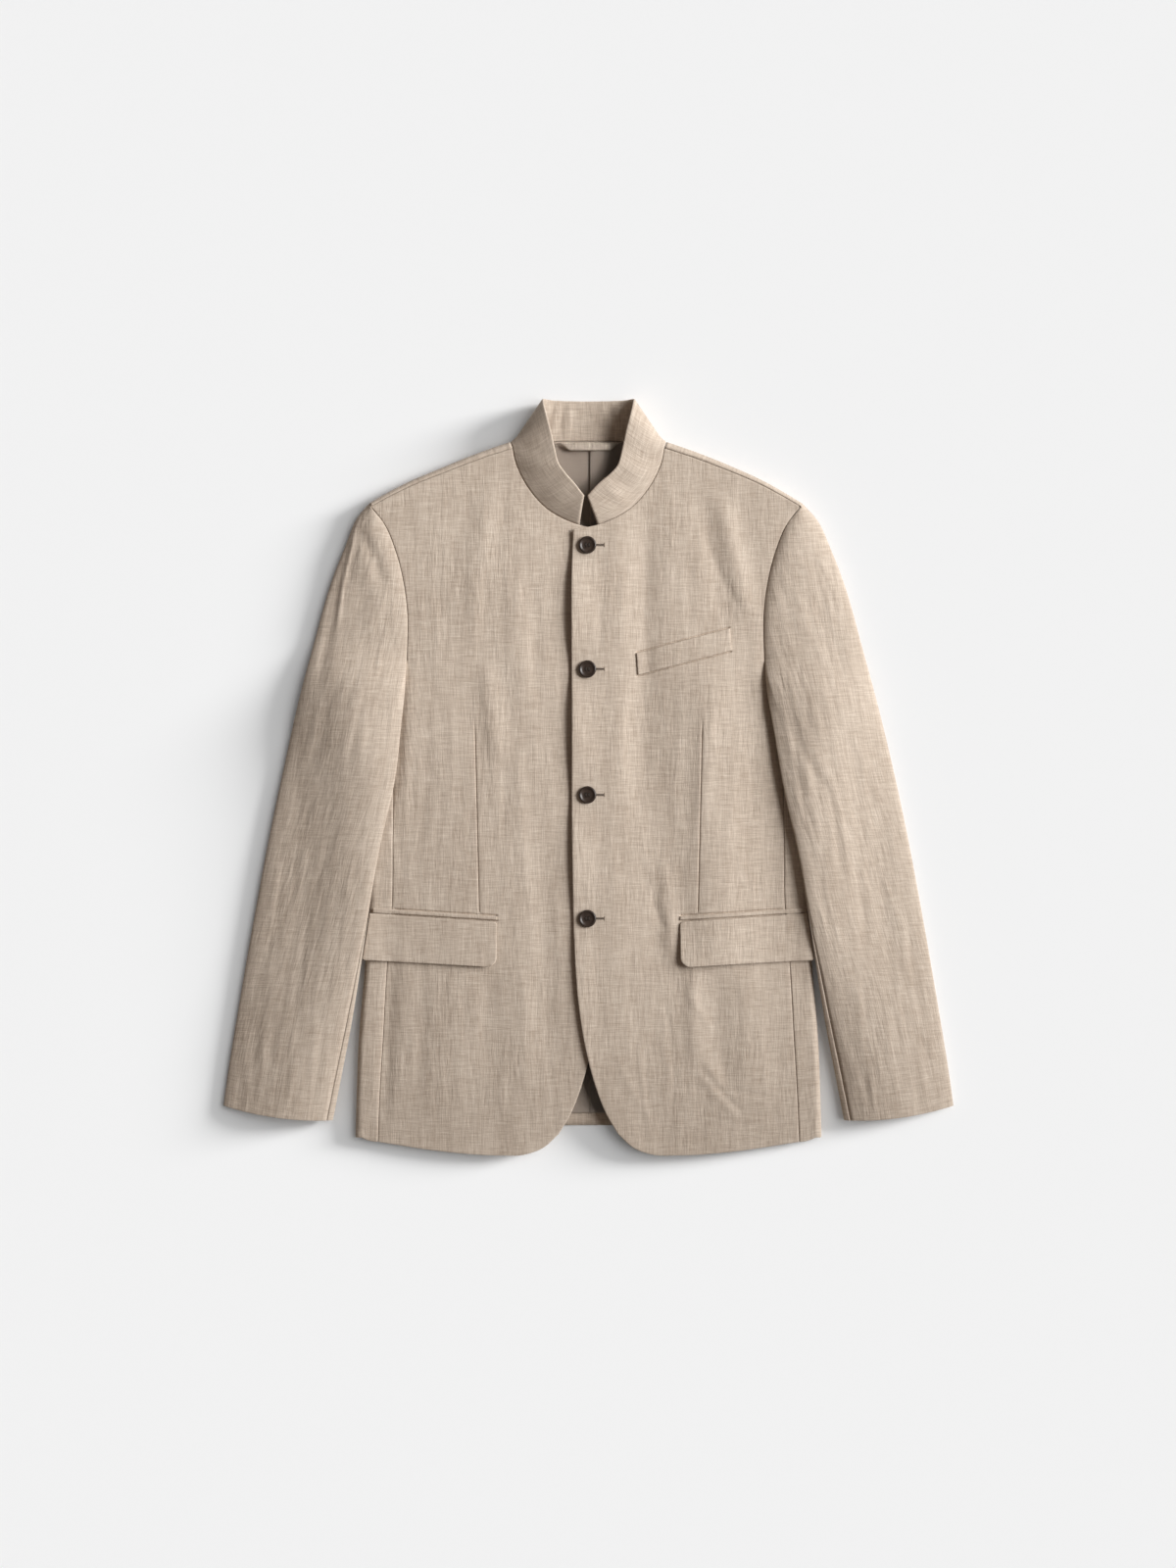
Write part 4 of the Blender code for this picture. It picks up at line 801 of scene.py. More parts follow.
# %% The outline of a front
FRONT_STEP = 2.05
DART_TOP, DART_END = Point(118.4, 64.0), Point(113.8, -136.1)
DART_DEPTH, DART_HALF, DART_TIP, DART_FOOT, DART_FOOT_FADE = 1.0, 0.5, 22.0, 8.0, 6.0
DART_BELOW, DART_ABOVE = 6.0, 4.0
FLAP_TOP_INNER, FLAP_TOP_OUTER = Point(95.2, -149.9), Point(228.0, -141.6)
JET_WIDTH, JET_GAP = 4.8, 0.8
WELT_TOP_INNER, WELT_TOP_OUTER = Point(49.9, 129.5), Point(147.1, 155.3)
WELT_BOTTOM_INNER, WELT_BOTTOM_OUTER = Point(51.5, 105.9), Point(148.9, 131.4)
SEAM_OFFSETS = (-2.1, -1.1, -0.6, -0.3, 0.0, 0.3, 0.6, 1.1, 2.1)
SEAM_PRESS, SEAM_HALF, SEAM_BESIDE = 1.7, 0.62, 0.5


def front_outline():
    """The outline of a front, anticlockwise from the rounded corner of the hem."""
    seam = np.array(SIDE)[:, [1, 0]] - np.array([SEAM_GAP / 2.0, 0.0])
    shoulder = shoulder_lines(SHOULDER_MARKS)[0] - np.array([0.0, SEAM_GAP])
    neck = [Point(*shoulder[0])] + NECKLINE[-2::-1]
    armhole = armhole_points(0.0, SHOULDER_MARKS)[::-1]
    lines = [FRONT_HEM, seam, UNDERARM[::-1], armhole, shoulder[::-1], neck, FRONT_EDGE]
    return np.vstack([edge_line(line) for line in lines])


print("outline of a front in mm:", round(lengths(front_outline())[-1]))

# %% The dart and the seams of the pockets
def dart_x(y):
    """The line of the dart, carried on above and below it."""
    return DART_END.x + (DART_TOP.x - DART_END.x) * (y - DART_END.y) / (DART_TOP.y - DART_END.y)


def pressed_lines(side):
    """Straight lines where a pocket is sewn in: over the jet, and round the welt."""
    rise, beside = np.array([0.0, JET_WIDTH + JET_GAP + SEAM_BESIDE]), np.array([0.0, SEAM_BESIDE])
    slit = np.array([FLAP_TOP_INNER, FLAP_TOP_OUTER])
    lines = [slit + rise, slit + np.array([0.0, JET_GAP / 2.0])]
    if side == LEFT:
        lines += [np.array([WELT_TOP_INNER, WELT_TOP_OUTER]) + beside,
                  np.array([WELT_BOTTOM_INNER, WELT_BOTTOM_OUTER]) - beside]
    return lines


def pressed(lines, x, y):
    """How deep the cloth is pressed in beside straight seams."""
    depth = np.zeros(np.shape(x))
    for (x0, y0), (x1, y1) in lines:
        run_x, run_y = x1 - x0, y1 - y0
        part = np.clip(((x - x0) * run_x + (y - y0) * run_y) / (run_x ** 2 + run_y ** 2), 0.0, 1.0)
        away = np.hypot(x - x0 - part * run_x, y - y0 - part * run_y)
        depth = np.maximum(depth, np.exp(-(away / SEAM_HALF) ** 2))
    return SEAM_PRESS * depth


def front_mesh(side):
    """Places and triangles of a front, with close points along the dart and the seams of the pockets."""
    dart_y = np.arange(DART_END.y - DART_BELOW, DART_TOP.y + DART_ABOVE, FRONT_STEP)
    close = [np.column_stack([dart_x(dart_y) + offset, dart_y]) for offset in SEAM_OFFSETS]
    for line in pressed_lines(side):
        run = unit(line[1] - line[0])
        places = line[0] + run * np.arange(0.0, np.linalg.norm(line[1] - line[0]), FRONT_STEP)[:, None]
        close += [places + offset * np.array([-run[1], run[0]]) for offset in SEAM_OFFSETS]
    outline = front_outline()
    close = [places[inside(moved_in(outline, EDGE_STEP), places)] for places in close]
    return filled(outline, FRONT_STEP, close)


print("length of a dart in mm:", round(math.dist(DART_TOP, DART_END), 1))

# %% The two fronts
def front_height(places, side):
    """Height of the right side of a front, with its seams pressed in."""
    x, y = places.T
    sewn = soft((DART_TOP.y - y) / DART_TIP) * soft((y - DART_END.y + DART_FOOT) / DART_FOOT_FADE)
    dart = DART_DEPTH * sewn * np.exp(-((x - dart_x(y)) / DART_HALF) ** 2)
    return front_top(x, y, side) - np.maximum(dart, pressed(pressed_lines(side), x, y))


surfaces = {}
for side, word in SIDES:
    places, faces, sunk = front_mesh(side)
    lying = flat_patch(places, faces, front_height(places, side), places, sunk)
    lying = lying._replace(points=lying.points * outward(side), normals=lying.normals * outward(side))
    surfaces["front", side] = lying
    front = shell(f"front_{word}_cloth", [lying], FRONT_WALL, SEAM_DROP, linen, bolt=(0.9 * side, 0.4))
    settle(front, f"front_{word}", (0.245, 0.735), patch_area(lying))

# %% [markdown]
# ## Side panels and back
# The side panel runs from the front seam round the fold of the side to the back, so most of it lies out of
# sight. The back is flat on the surface and comes over the shoulders to meet the fronts.

# %% Side panels
SIDE_ROWS, SIDE_TOP_STEPS, SIDE_TURN_STEPS, SIDE_FLOOR_STEPS = 196, 14, 14, 12


def side_surface(side):
    """The side panel: from the front seam round the side fold to the back seam."""
    rows = side_rows(SIDE_ROWS)
    y, seam_x, edge_x, back_x, edge_lift, back_lift = [rows[:, k][:, None] for k in range(6)]
    turn = edge_x - SIDE_ROLL
    over = np.linspace(0.0, 1.0, SIDE_TOP_STEPS + 1)[None]
    top_x = seam_x + SEAM_GAP / 2.0 + (turn - seam_x - SEAM_GAP / 2.0) * over
    top_y = y + edge_lift * over ** 2
    top_z = body_top(top_x, top_y, side)
    angle = np.linspace(0.0, math.pi, SIDE_TURN_STEPS + 1)[None, 1:]
    roll_x = turn + SIDE_ROLL * np.sin(angle)
    roll_y = y + edge_lift + 0.0 * angle
    roll_z = top_z[:, -1:] * 0.5 * (1.0 + np.cos(angle))
    under = np.linspace(0.0, 1.0, SIDE_FLOOR_STEPS + 1)[None, 1:]
    floor_x = turn + (back_x - turn) * under
    floor_y = y + edge_lift + (back_lift - edge_lift) * under
    return np.dstack([np.hstack([top_x, roll_x, floor_x]), np.hstack([top_y, roll_y, floor_y]),
                      np.hstack([top_z, roll_z, 0.0 * floor_x])])


def triangles_of(patch):
    """A patch of four-sided faces, with each of them split in two."""
    return patch._replace(faces=np.vstack([patch.faces[:, [0, 1, 2]], patch.faces[:, [0, 2, 3]]]))


for side, word in SIDES:
    surface = side_surface(side)
    facing = normals_of(surface, SIDE_ROWS // 2, SIDE_TOP_STEPS // 2, (0, 0, 1))
    wrapped = wrapped_patch(surface, facing, cut_place(surface, 0), "sl", side)
    panel = shell(f"side_{word}_cloth", [wrapped], SIDE_WALL, SEAM_DROP, linen, bolt=(1.6 * side, 0.37))
    surfaces["side", side] = triangles_of(wrapped)
    settle(panel, f"side_{word}", (0.130, 0.450), patch_area(surfaces["side", side]))

# %% Back
BACK_ROWS, BACK_HIDDEN_ROWS, BACK_ARM_ROWS = 80, 14, 34
BACK_NECK_COLUMNS, BACK_SHOULDER_COLUMNS, BACK_ROLL_STEPS = 16, 60, 12
BACK_ROLL_CUT = (80.0, 350.0)


def back_surface(side):
    """Half of the back: the flat part, the roll over the shoulder and both their normals."""
    rows = side_rows(BACK_ROWS)
    under = even(BACK_UNDERARM, BACK_HIDDEN_ROWS + 1)[::-1]
    low = np.column_stack([rows[:, 3] - SEAM_GAP, rows[:, 0] + rows[:, 5]])
    right = np.vstack([low, under[1:-1], armhole_points(0.0, BACK_ARM_ROWS)[::-1]])
    seam, out, depth = shoulder_lines(BACK_SHOULDER_COLUMNS)
    neck = even(BACK_NECK + [Point(*seam[0])], BACK_NECK_COLUMNS + 1)
    top = np.vstack([neck[:-1], seam])
    left = np.column_stack([np.zeros(len(right)), np.linspace(BACK_HEM_Y, BACK_NECK[0].y, len(right))])
    bottom = even([Point(0.0, BACK_HEM_Y), BACK_HEM_MIDDLE, Point(*low[0])], len(top))
    flat = coons(left, right, bottom, top)
    flat = np.dstack([flat, np.zeros(flat.shape[:2])])
    height = body_top(seam[:, 0], seam[:, 1], side)
    angle = np.linspace(0.0, math.pi, BACK_ROLL_STEPS + 1)[:, None]
    out_x, out_y = np.sin(angle) * out[:, 0], np.sin(angle) * out[:, 1]
    roll = np.dstack([seam[:, 0] + out_x * depth, seam[:, 1] + out_y * depth,
                      height * 0.5 * (1.0 - np.cos(angle))])
    return flat, roll, unit(np.dstack([out_x, out_y, -np.cos(angle) + 0.0 * depth]))


patches = []
for side, _ in SIDES:
    flat, roll, facing = back_surface(side)
    down = np.zeros(flat.shape) + np.array([0.0, 0.0, -1.0])
    patches.append(grid_patch(flat * outward(side), down, flat[..., :2], np.zeros(flat.shape[:2])))
    patches.append(wrapped_patch(roll, facing, cut_place(roll, 0) + np.array(BACK_ROLL_CUT), "e", side))
back = shell("back_cloth", patches, BACK_WALL, SEAM_DROP, linen, bolt=(3.0, 0.4))
back_area = sum(patch_area(triangles_of(patch)) for patch in patches)
settle(back, "back", (0.446, 0.740), back_area)

# %% [markdown]
# ## Sleeves
# A tailored sleeve has two cuts, a top sleeve and a narrower under sleeve, so that it can bend with the arm.
# It starts on the armhole, lies over the side of the body and ends on the surface. Each section is a flat
# ring: low and round at its outer fold, crowned in the middle. Fine creases run along the sleeve.

# %% Sleeve sections
SLEEVE = [SleeveRow(222.9, 285.1, 221.3, 281.4, 90.0, 14.0, 14.0, 0.0, 0.0, 90.0, 270.0, 0.0),
          SleeveRow(238.0, 269.0, 207.7, 265.5, 90.0, 14.5, 13.4, 1.0, 0.0, 90.0, 270.0, 0.0),
          SleeveRow(253.5, 236.0, 194.3, 234.3, 90.0, 14.5, 13.4, 2.0, 0.0, 90.0, 270.0, 0.0),
          SleeveRow(267.3, 200.0, 185.4, 196.9, 90.0, 14.5, 13.4, 2.0, 0.0, 90.0, 270.0, 0.0),
          SleeveRow(277.5, 165.5, 182.1, 163.5, 90.0, 14.5, 13.4, 2.0, 0.0, 90.0, 270.0, 0.0),
          SleeveRow(283.3, 143.5, 182.3, 142.0, 92.0, 14.5, 13.4, 2.0, 0.0, 92.0, 268.0, 0.0),
          SleeveRow(288.5, 124.0, 183.1, 121.9, 96.0, 14.5, 8.0, 2.5, 5.5, 96.0, 264.0, 0.0),
          SleeveRow(296.3, 95.0, 185.0, 93.0, 180.0, 14.5, 9.5, 2.5, 13.0, 180.0, 180.0, 0.0),
          SleeveRow(309.2, 45.0, 193.2, 42.8, 180.0, 14.0, 11.5, 2.5, 15.0, 184.0, 184.0, 0.0),
          SleeveRow(324.0, -19.0, 204.2, -20.4, 180.0, 13.5, 12.0, 3.0, 15.5, 184.0, 184.0, 0.0),
          SleeveRow(334.8, -71.5, 216.2, -71.5, 180.0, 13.0, 12.5, 3.5, 16.0, 180.0, 180.0, 0.0),
          SleeveRow(348.3, -144.0, 228.5, -143.0, 180.0, 12.5, 12.5, 4.0, 17.5, 173.0, 173.0, 0.0),
          SleeveRow(357.7, -197.5, 236.4, -194.5, 180.0, 12.0, 13.5, 5.0, 13.5, 163.0, 163.0, 0.0),
          SleeveRow(368.6, -262.0, 247.2, -260.0, 180.0, 11.5, 15.5, 5.5, 5.0, 156.0, 156.0, 0.5),
          SleeveRow(375.7, -306.0, 258.0, -315.0, 180.0, 11.0, 15.5, 5.0, 1.0, 154.0, 154.0, 2.5),
          SleeveRow(380.8, -342.6, 266.3, -357.4, 180.0, 10.5, 14.5, 4.0, 0.0, 153.0, 153.0, 4.5)]
SLEEVE_REACH, SLEEVE_DROP, SLEEVE_WAIST = 80.0, 100.0, 0.32
SLEEVE_UNDER_ROUND, SLEEVE_TOP_ROUND = 0.7, 0.95
BACK_SEAM_DEG, SLEEVE_SEAM_DROP, SLEEVE_INNER_FULL, SLEEVE_FULL_FROM = -28.0, 0.2, 0.22, 0.55
CAP_ROWS, ARM_ROWS, FOLD_COLUMNS, TOP_COLUMNS, UNDER_COLUMNS = 76, 180, 8, 76, 50
EVEN_SHARE, SEAM_FADE, SEAM_EDGE, CROWN_OUT = 0.45, 80.0, 0.14, 1.5
CAP_ROLL, CAP_ROLL_REACH, CAP_ROLL_TIP = {LEFT: 3.0, RIGHT: 1.2}, 4.0, 45.0
SLEEVE_RUMPLE, SLEEVE_RUMPLE_WIDE, SLEEVE_RUMPLE_LONG = 0.42, 10.0, 42.0
SLEEVE_FINE_WIDE, SLEEVE_FINE_LONG, SLEEVE_SEED, SLEEVE_FINE_SEED = 0.5, 0.55, 31, 34
FREE_LIFT, FREE_EDGE, FREE_INNER = 1.6, 6.0, 0.15
SLEEVE_CREASES = {
    LEFT: creases(
        (214, 40, 226, -40, 3.5, -0.8, 2), (226, 30, 240, -62, 3.5, 0.8, 2),
        (246, 0, 262, -100, 4, -0.9, -2), (262, -30, 276, -120, 3.5, 0.7, 2),
        (240, -90, 250, -160, 3.5, -0.7, 1), (276, -90, 288, -170, 4, -0.7, -2),
        (212, 62, 245, -14, 6, -0.9, 4), (232, 70, 262, -40, 6, 0.7, 3),
        (262, -180, 270, -240, 4.5, -0.7, 2), (276, -205, 284, -290, 5, 0.6, -2),
        (284, -286, 295, -354, 4.5, -0.7, 2), (310, -240, 322, -330, 6, 0.6, 2),
        (300, -60, 316, -190, 7, -0.9, 4), (262, 60, 285, -60, 7, -0.7, -3),
        (285, 10, 305, -110, 6, 0.7, 3), (335, -150, 350, -270, 6, -0.7, 2),
        (240, 190, 262, 110, 8, -0.8, 3), (218, 200, 232, 130, 7, 0.7, 2)),
    RIGHT: creases(
        (262, -92, 322, -104, 5, -0.9, 3), (250, -66, 300, -84, 5, 0.7, -3),
        (262, -20, 284, -120, 6, -0.8, 3), (282, -30, 306, -150, 6, 0.7, -3),
        (268, -120, 282, -214, 5, 0.6, 2), (292, -140, 308, -250, 5.5, -0.7, 2),
        (318, -80, 336, -200, 6, -0.8, 3), (330, -200, 344, -300, 6, 0.6, 2),
        (239.3, 264, 259, 163, 3.2, 1.9, -2), (249, 262, 278, 98, 8, -2.4, -3),
        (233, 254, 209, 200, 8, -1.9, 2), (236, 205, 246, 160, 8, -0.8, 3),
        (214, 190, 226, 150, 7, 0.7, 2), (236, 90, 258, 10, 7, 0.8, -3),
        (262, 110, 284, 20, 7, -0.8, 3), (276, -250, 286, -340, 5, -0.6, 2),
        (306, -262, 316, -345, 6, 0.5, 2))}
print("creases on the sleeves:", len(SLEEVE_CREASES[LEFT]), "left,", len(SLEEVE_CREASES[RIGHT]), "right")

# %% Points of a sleeve
def sleeve_rows(side):
    """Sleeve sections from the shoulder to the cuff, the first ones on the armhole seam."""
    table = np.array(SLEEVE)
    seam_line, out, depth = shoulder_lines(SHOULDER_MARKS)
    table[0, 2:4] = seam_line[-1]
    table[0, 0:2] = seam_line[-1] + out[-1] * depth[-1]
    table[:, 9] = np.where(np.arange(len(table)) <= len(ARMHOLE), 180.0, table[:, 9])
    knots = lengths(table[:, 2:4])
    seam = armhole_points(SEAM_GAP, CAP_ROWS + 1)
    meet = lengths(seam)
    last = len(ARMHOLE)
    lower = np.linspace(knots[last], knots[-1], ARM_ROWS + 1)[1:]
    rows = blend(knots, table, np.concatenate([meet * knots[last] / meet[-1], lower]))
    rows[:, 8] = np.maximum(rows[:, 8], 0.0)
    rows[:len(seam), 2:4] = seam
    rows[0, 0:2] = seam[0] + out[-1] * depth[-1]
    height = front_top(seam[:, 0], seam[:, 1], side)
    rows[:len(seam), 6] = height - rows[:len(seam), 8]
    rows[0, 5] = height[0]
    rows[len(seam):, 4] = rows[len(seam) - 1, 4]
    return rows


def sleeve_points(rows, angles, side):
    """Points of the sections; an angle runs from the outer fold over the top to the inner edge and under."""
    outer_x, outer_y, inner_x, inner_y, wrap, outer_height, inner_height, crown, rest, _, _, bow = \
        [rows[:, k][:, None] for k in range(12)]
    across = 0.5 * (1.0 - np.cos(np.radians(angles)))
    x = outer_x + (inner_x - outer_x) * across
    y = outer_y + (inner_y - outer_y) * across - bow * 4.0 * across * (1.0 - across)
    side_table = np.array(SIDE)
    edge_x = np.interp(y, side_table[:, 0], side_table[:, 2])
    base = rest * soft((edge_x + SLEEVE_REACH - x) / SLEEVE_DROP)
    height = outer_height + (inner_height - outer_height) * across
    folded = np.abs(np.sin(np.radians(angles)))
    sewn = np.sin(np.arccos(1.0 - across * (1.0 - np.cos(np.radians(wrap)))))
    past = np.maximum(lengths(rows[:, 2:4]) - lengths(rows[:, 2:4])[CAP_ROWS], 0.0)[:, None]
    edge = SEAM_EDGE * soft(past / SEAM_FADE) + 1e-4
    share = np.where(past > 0.0, soft(1.0 - past / SEAM_FADE) * soft((1.0 - across) / edge), 1.0)
    lift = folded + (sewn - folded) * share
    waist = SLEEVE_WAIST + SLEEVE_INNER_FULL * soft((across - SLEEVE_FULL_FROM) / (1.0 - SLEEVE_FULL_FROM))
    lower = height * waist * (1.0 - lift ** SLEEVE_UNDER_ROUND)
    upper = height * (waist + (1.0 - waist) * lift ** SLEEVE_TOP_ROUND)
    upper = upper + crown * np.sin(math.pi * np.clip(across, 0.0, 1.0) ** CROWN_OUT)
    run = lengths(rows[:, 2:4])[:, None]
    away = (1.0 - across) * np.hypot(inner_x - outer_x, inner_y - outer_y)
    roll = CAP_ROLL[side] * soft(run / CAP_ROLL_TIP) * soft(1.0 - past / SEAM_FADE)
    upper = upper + roll * lift ** SLEEVE_TOP_ROUND * (1.0 - np.exp(-away / CAP_ROLL_REACH))
    over = (angles >= 0.0) & (angles <= 180.0)
    free = soft(lift * FREE_LIFT) * soft(across * FREE_EDGE) * soft((1.0 - across) * FREE_EDGE + FREE_INNER)
    length = 0.5 * (lengths(rows[:, 0:2]) + lengths(rows[:, 2:4]))[:, None]
    width = across * np.hypot(inner_x - outer_x, inner_y - outer_y)
    rough = rumple(width / SLEEVE_RUMPLE_WIDE, length / SLEEVE_RUMPLE_LONG, SLEEVE_SEED + side)
    wide, long = SLEEVE_FINE_WIDE * SLEEVE_RUMPLE_WIDE, SLEEVE_FINE_LONG * SLEEVE_RUMPLE_LONG
    rough = rough + FINE_SHARE * rumple(width / wide, length / long, SLEEVE_FINE_SEED + side)
    relief = (crease_height(SLEEVE_CREASES[side], x, y) + SLEEVE_RUMPLE * rough) * free
    return np.dstack([x, y, base + np.where(over, upper + relief, lower)])


print("sections of a sleeve:", len(sleeve_rows(LEFT)))

# %% The two sleeves
def drawn_back(grid, column, gap):
    """A grid with one end column drawn back from a seam."""
    neighbour = column + 1 if column == 0 else column - 1
    grid = grid.copy()
    step = grid[:, neighbour] - grid[:, column]
    size = np.maximum(np.linalg.norm(step, axis=1), 1e-6)
    grid[:, column] += step * np.minimum(gap / size, 0.5)[:, None]
    return grid


def sleeve_surfaces(side):
    """Top sleeve and under sleeve with their normals, which agree along both seams."""
    rows = sleeve_rows(side)
    part = np.linspace(0.0, 1.0, TOP_COLUMNS)
    across = EVEN_SHARE * part + (1.0 - EVEN_SHARE) * 0.5 * (1.0 - np.cos(math.pi * part))
    turn = np.degrees(np.arccos(1.0 - 2.0 * across)) / 180.0
    below = np.linspace(BACK_SEAM_DEG, 0.0, FOLD_COLUMNS + 1)[:-1]
    seam = rows[:, 9:10]
    top = sleeve_points(rows, np.hstack([np.repeat(below[None], len(rows), axis=0), seam * turn[None]]), side)
    under_turn = np.linspace(0.0, 1.0, UNDER_COLUMNS)[None]
    under = sleeve_points(rows, seam + (360.0 + BACK_SEAM_DEG - seam) * under_turn, side)
    middle = len(rows) // 2
    top_normal = normals_of(top, middle, top.shape[1] // 2, (0, 0, 1))
    under_normal = normals_of(under, middle, UNDER_COLUMNS * 2 // 3, (0, 0, -1))
    shared = unit(top_normal[:, 0] + under_normal[:, -1])
    top_normal[:, 0], under_normal[:, -1] = shared, shared
    joined = np.arange(len(rows)) > CAP_ROWS
    shared = unit(top_normal[:, -1] + under_normal[:, 0])
    top_normal[joined, -1], under_normal[joined, 0] = shared[joined], shared[joined]
    half = SEAM_GAP / 2.0
    top, under = drawn_back(top, 0, half), drawn_back(under, UNDER_COLUMNS - 1, half)
    top[joined] = drawn_back(top, top.shape[1] - 1, half)[joined]
    under[joined] = drawn_back(under, 0, half)[joined]
    return (top, top_normal), (under, under_normal)


SLEEVE_CUTS = (("top", (0.190, 0.650)), ("under", (0.150, 0.650)))
for side, word in SIDES:
    for (name, flat), (surface, normal) in zip(SLEEVE_CUTS, sleeve_surfaces(side)):
        cut = cut_place(surface, surface.shape[1] // 2)
        wrapped = wrapped_patch(surface, normal, cut, "serl", side)
        sleeve = shell(f"sleeve_{name}_{word}_cloth", [wrapped], SLEEVE_WALL, SLEEVE_SEAM_DROP, linen,
                       bolt=(4.0 + side, 1.5))
        settle(sleeve, f"sleeve_{name}_{word}", flat, patch_area(triangles_of(wrapped)))

# %% [markdown]
# ## Collar
# The stand collar is a narrow band, sewn to the neck on one edge. At the back it lies open, with its inner
# side up; at the sides it turns over and stands up off the fronts, and its two ends meet over the first
# button. Its form is a straight blend from the neck seam to the free edge, with a slight bow.

# %% The collar band
COLLAR_EDGE = [CollarEdge(0.0, 1.5, 292.0, 33.0), CollarEdge(0.10, 12.0, 304.5, 34.0),
               CollarEdge(0.22, 24.0, 316.0, 34.5), CollarEdge(0.33, 31.5, 327.0, 34.5),
               CollarEdge(0.42, 35.0, 341.0, 34.0), CollarEdge(0.50, 39.5, 361.0, 33.0),
               CollarEdge(0.57, 44.0, 377.0, 30.0), CollarEdge(0.62, 47.2, 389.6, 24.0),
               CollarEdge(0.66, 47.8, 393.75, 16.0), CollarEdge(0.70, 46.0, 394.25, 9.0),
               CollarEdge(0.77, 39.0, 393.2, 4.0), CollarEdge(0.87, 24.0, 392.4, 1.5),
               CollarEdge(1.0, 0.0, 392.1, 1.0)]
COLLAR_FRONT_END, COLLAR_SIDE_END = 6.0 / 15.0, 10.0 / 15.0
COLLAR_FRONT_STEPS, COLLAR_SIDE_STEPS, COLLAR_BACK_STEPS, COLLAR_COLUMNS = 54, 34, 40, 24
COLLAR_BOW, COLLAR_STAND, COLLAR_TIP_SHIFT, COLLAR_TIP_SHARE = 1.6, 30.0, -3.0, 0.3
COLLAR_HEIGHT, COLLAR_LOW_END, COLLAR_TURN = {LEFT: 0.7, RIGHT: 0.84}, 0.42, 0.18
Wave = namedtuple("Wave", "at half_width height")
COLLAR_WAVES = {
    LEFT: [Wave(0.13, 0.03, 0.5), Wave(0.2, 0.03, -0.8), Wave(0.29, 0.035, 0.9), Wave(0.37, 0.03, -0.9),
           Wave(0.46, 0.035, 0.6), Wave(0.78, 0.02, -1.0), Wave(0.85, 0.02, -1.3), Wave(0.92, 0.02, -1.0)],
    RIGHT: [Wave(0.12, 0.03, 0.4), Wave(0.22, 0.035, -0.8), Wave(0.32, 0.03, 0.7), Wave(0.40, 0.03, -0.7),
            Wave(0.47, 0.03, 0.5), Wave(0.76, 0.02, -1.0), Wave(0.83, 0.02, -1.2), Wave(0.9, 0.022, -1.4)]}


def collar_half(side):
    """One half of the collar band from its front end to the centre back, and the way its seam faces."""
    seam, out, depth = shoulder_lines(SHOULDER_MARKS)
    front = neck_points(COLLAR_FRONT_STEPS + 1)
    run = unit(np.gradient(front, axis=0))
    front_z = front_top(front[:, 0], front[:, 1], side)
    front = front + SEAM_GAP * np.column_stack([-run[:, 1], run[:, 0]])
    start = seam[0] - SEAM_GAP * np.array([out[0][1], -out[0][0]])
    angle = np.linspace(math.pi, 0.0, COLLAR_SIDE_STEPS + 1)[1:]
    side_xy = start + np.sin(angle)[:, None] * out[0] * depth[0]
    side_z = front_z[-1] * 0.5 * (1.0 - np.cos(angle))
    back_seam = even([Point(*seam[0])] + BACK_NECK[::-1], COLLAR_BACK_STEPS + 1)[1:]
    back_seam = back_seam + np.array([0.0, SEAM_GAP])
    base = np.vstack([np.column_stack([front, front_z]), np.column_stack([side_xy, side_z]),
                      np.column_stack([back_seam, np.zeros(len(back_seam))])])
    facing = np.vstack([np.tile([0.0, 0.0, 1.0], (len(front), 1)),
                        np.column_stack([np.sin(angle)[:, None] * out[0], -np.cos(angle)]),
                        np.tile([0.0, 0.0, -1.0], (len(back_seam), 1))])
    at = np.concatenate([np.linspace(0.0, COLLAR_FRONT_END, COLLAR_FRONT_STEPS + 1),
                         np.linspace(COLLAR_FRONT_END, COLLAR_SIDE_END, COLLAR_SIDE_STEPS + 1)[1:],
                         np.linspace(COLLAR_SIDE_END, 1.0, COLLAR_BACK_STEPS + 1)[1:]])
    table = np.array(COLLAR_EDGE)
    edge = blend(table[:, 0], table[:, 1:], at)
    full = soft((at - COLLAR_LOW_END) / COLLAR_TURN)
    edge[:, 2] *= COLLAR_HEIGHT[side] + (1.0 - COLLAR_HEIGHT[side]) * full
    base, edge, facing = base * outward(side), edge * outward(side), facing * outward(side)
    edge[:, 0] += COLLAR_TIP_SHIFT * (1.0 - soft(at / COLLAR_TIP_SHARE))
    over = np.linspace(0.0, 1.0, COLLAR_COLUMNS)[None, :, None]
    waves = sum(wave.height * np.exp(-((at - wave.at) / wave.half_width) ** 2) for wave in COLLAR_WAVES[side])
    return base[:, None] * (1.0 - over) + edge[:, None] * over, facing, waves


print("neck seam of half the collar in mm:", round(lengths(collar_half(LEFT)[0][:, 0])[-1], 1))

# %% The collar's two halves, joined
left_half, left_facing, left_waves = collar_half(LEFT)
right_half, right_facing, right_waves = collar_half(RIGHT)
band = np.concatenate([left_half, right_half[-2::-1]])
middle = len(band) // 2
normal = normals_of(band, middle, COLLAR_COLUMNS // 2, (0, 0, -1))
over = np.sin(np.linspace(0.0, math.pi, COLLAR_COLUMNS))[None, :, None]
waves = np.concatenate([left_waves, right_waves[-2::-1]])[:, None, None]
band = band + normal * over * (COLLAR_BOW * soft(band[:, -1:, 2:] / COLLAR_STAND) + waves)
collar_uv = cut_place(band.transpose(1, 0, 2), middle).transpose(1, 0, 2)
facing = normals_of(band, middle, COLLAR_COLUMNS // 2, (0, 0, -1))
facing[:, 0] = np.concatenate([left_facing, right_facing[-2::-1]])
wrapped = wrapped_patch(band, facing, collar_uv, "serl")
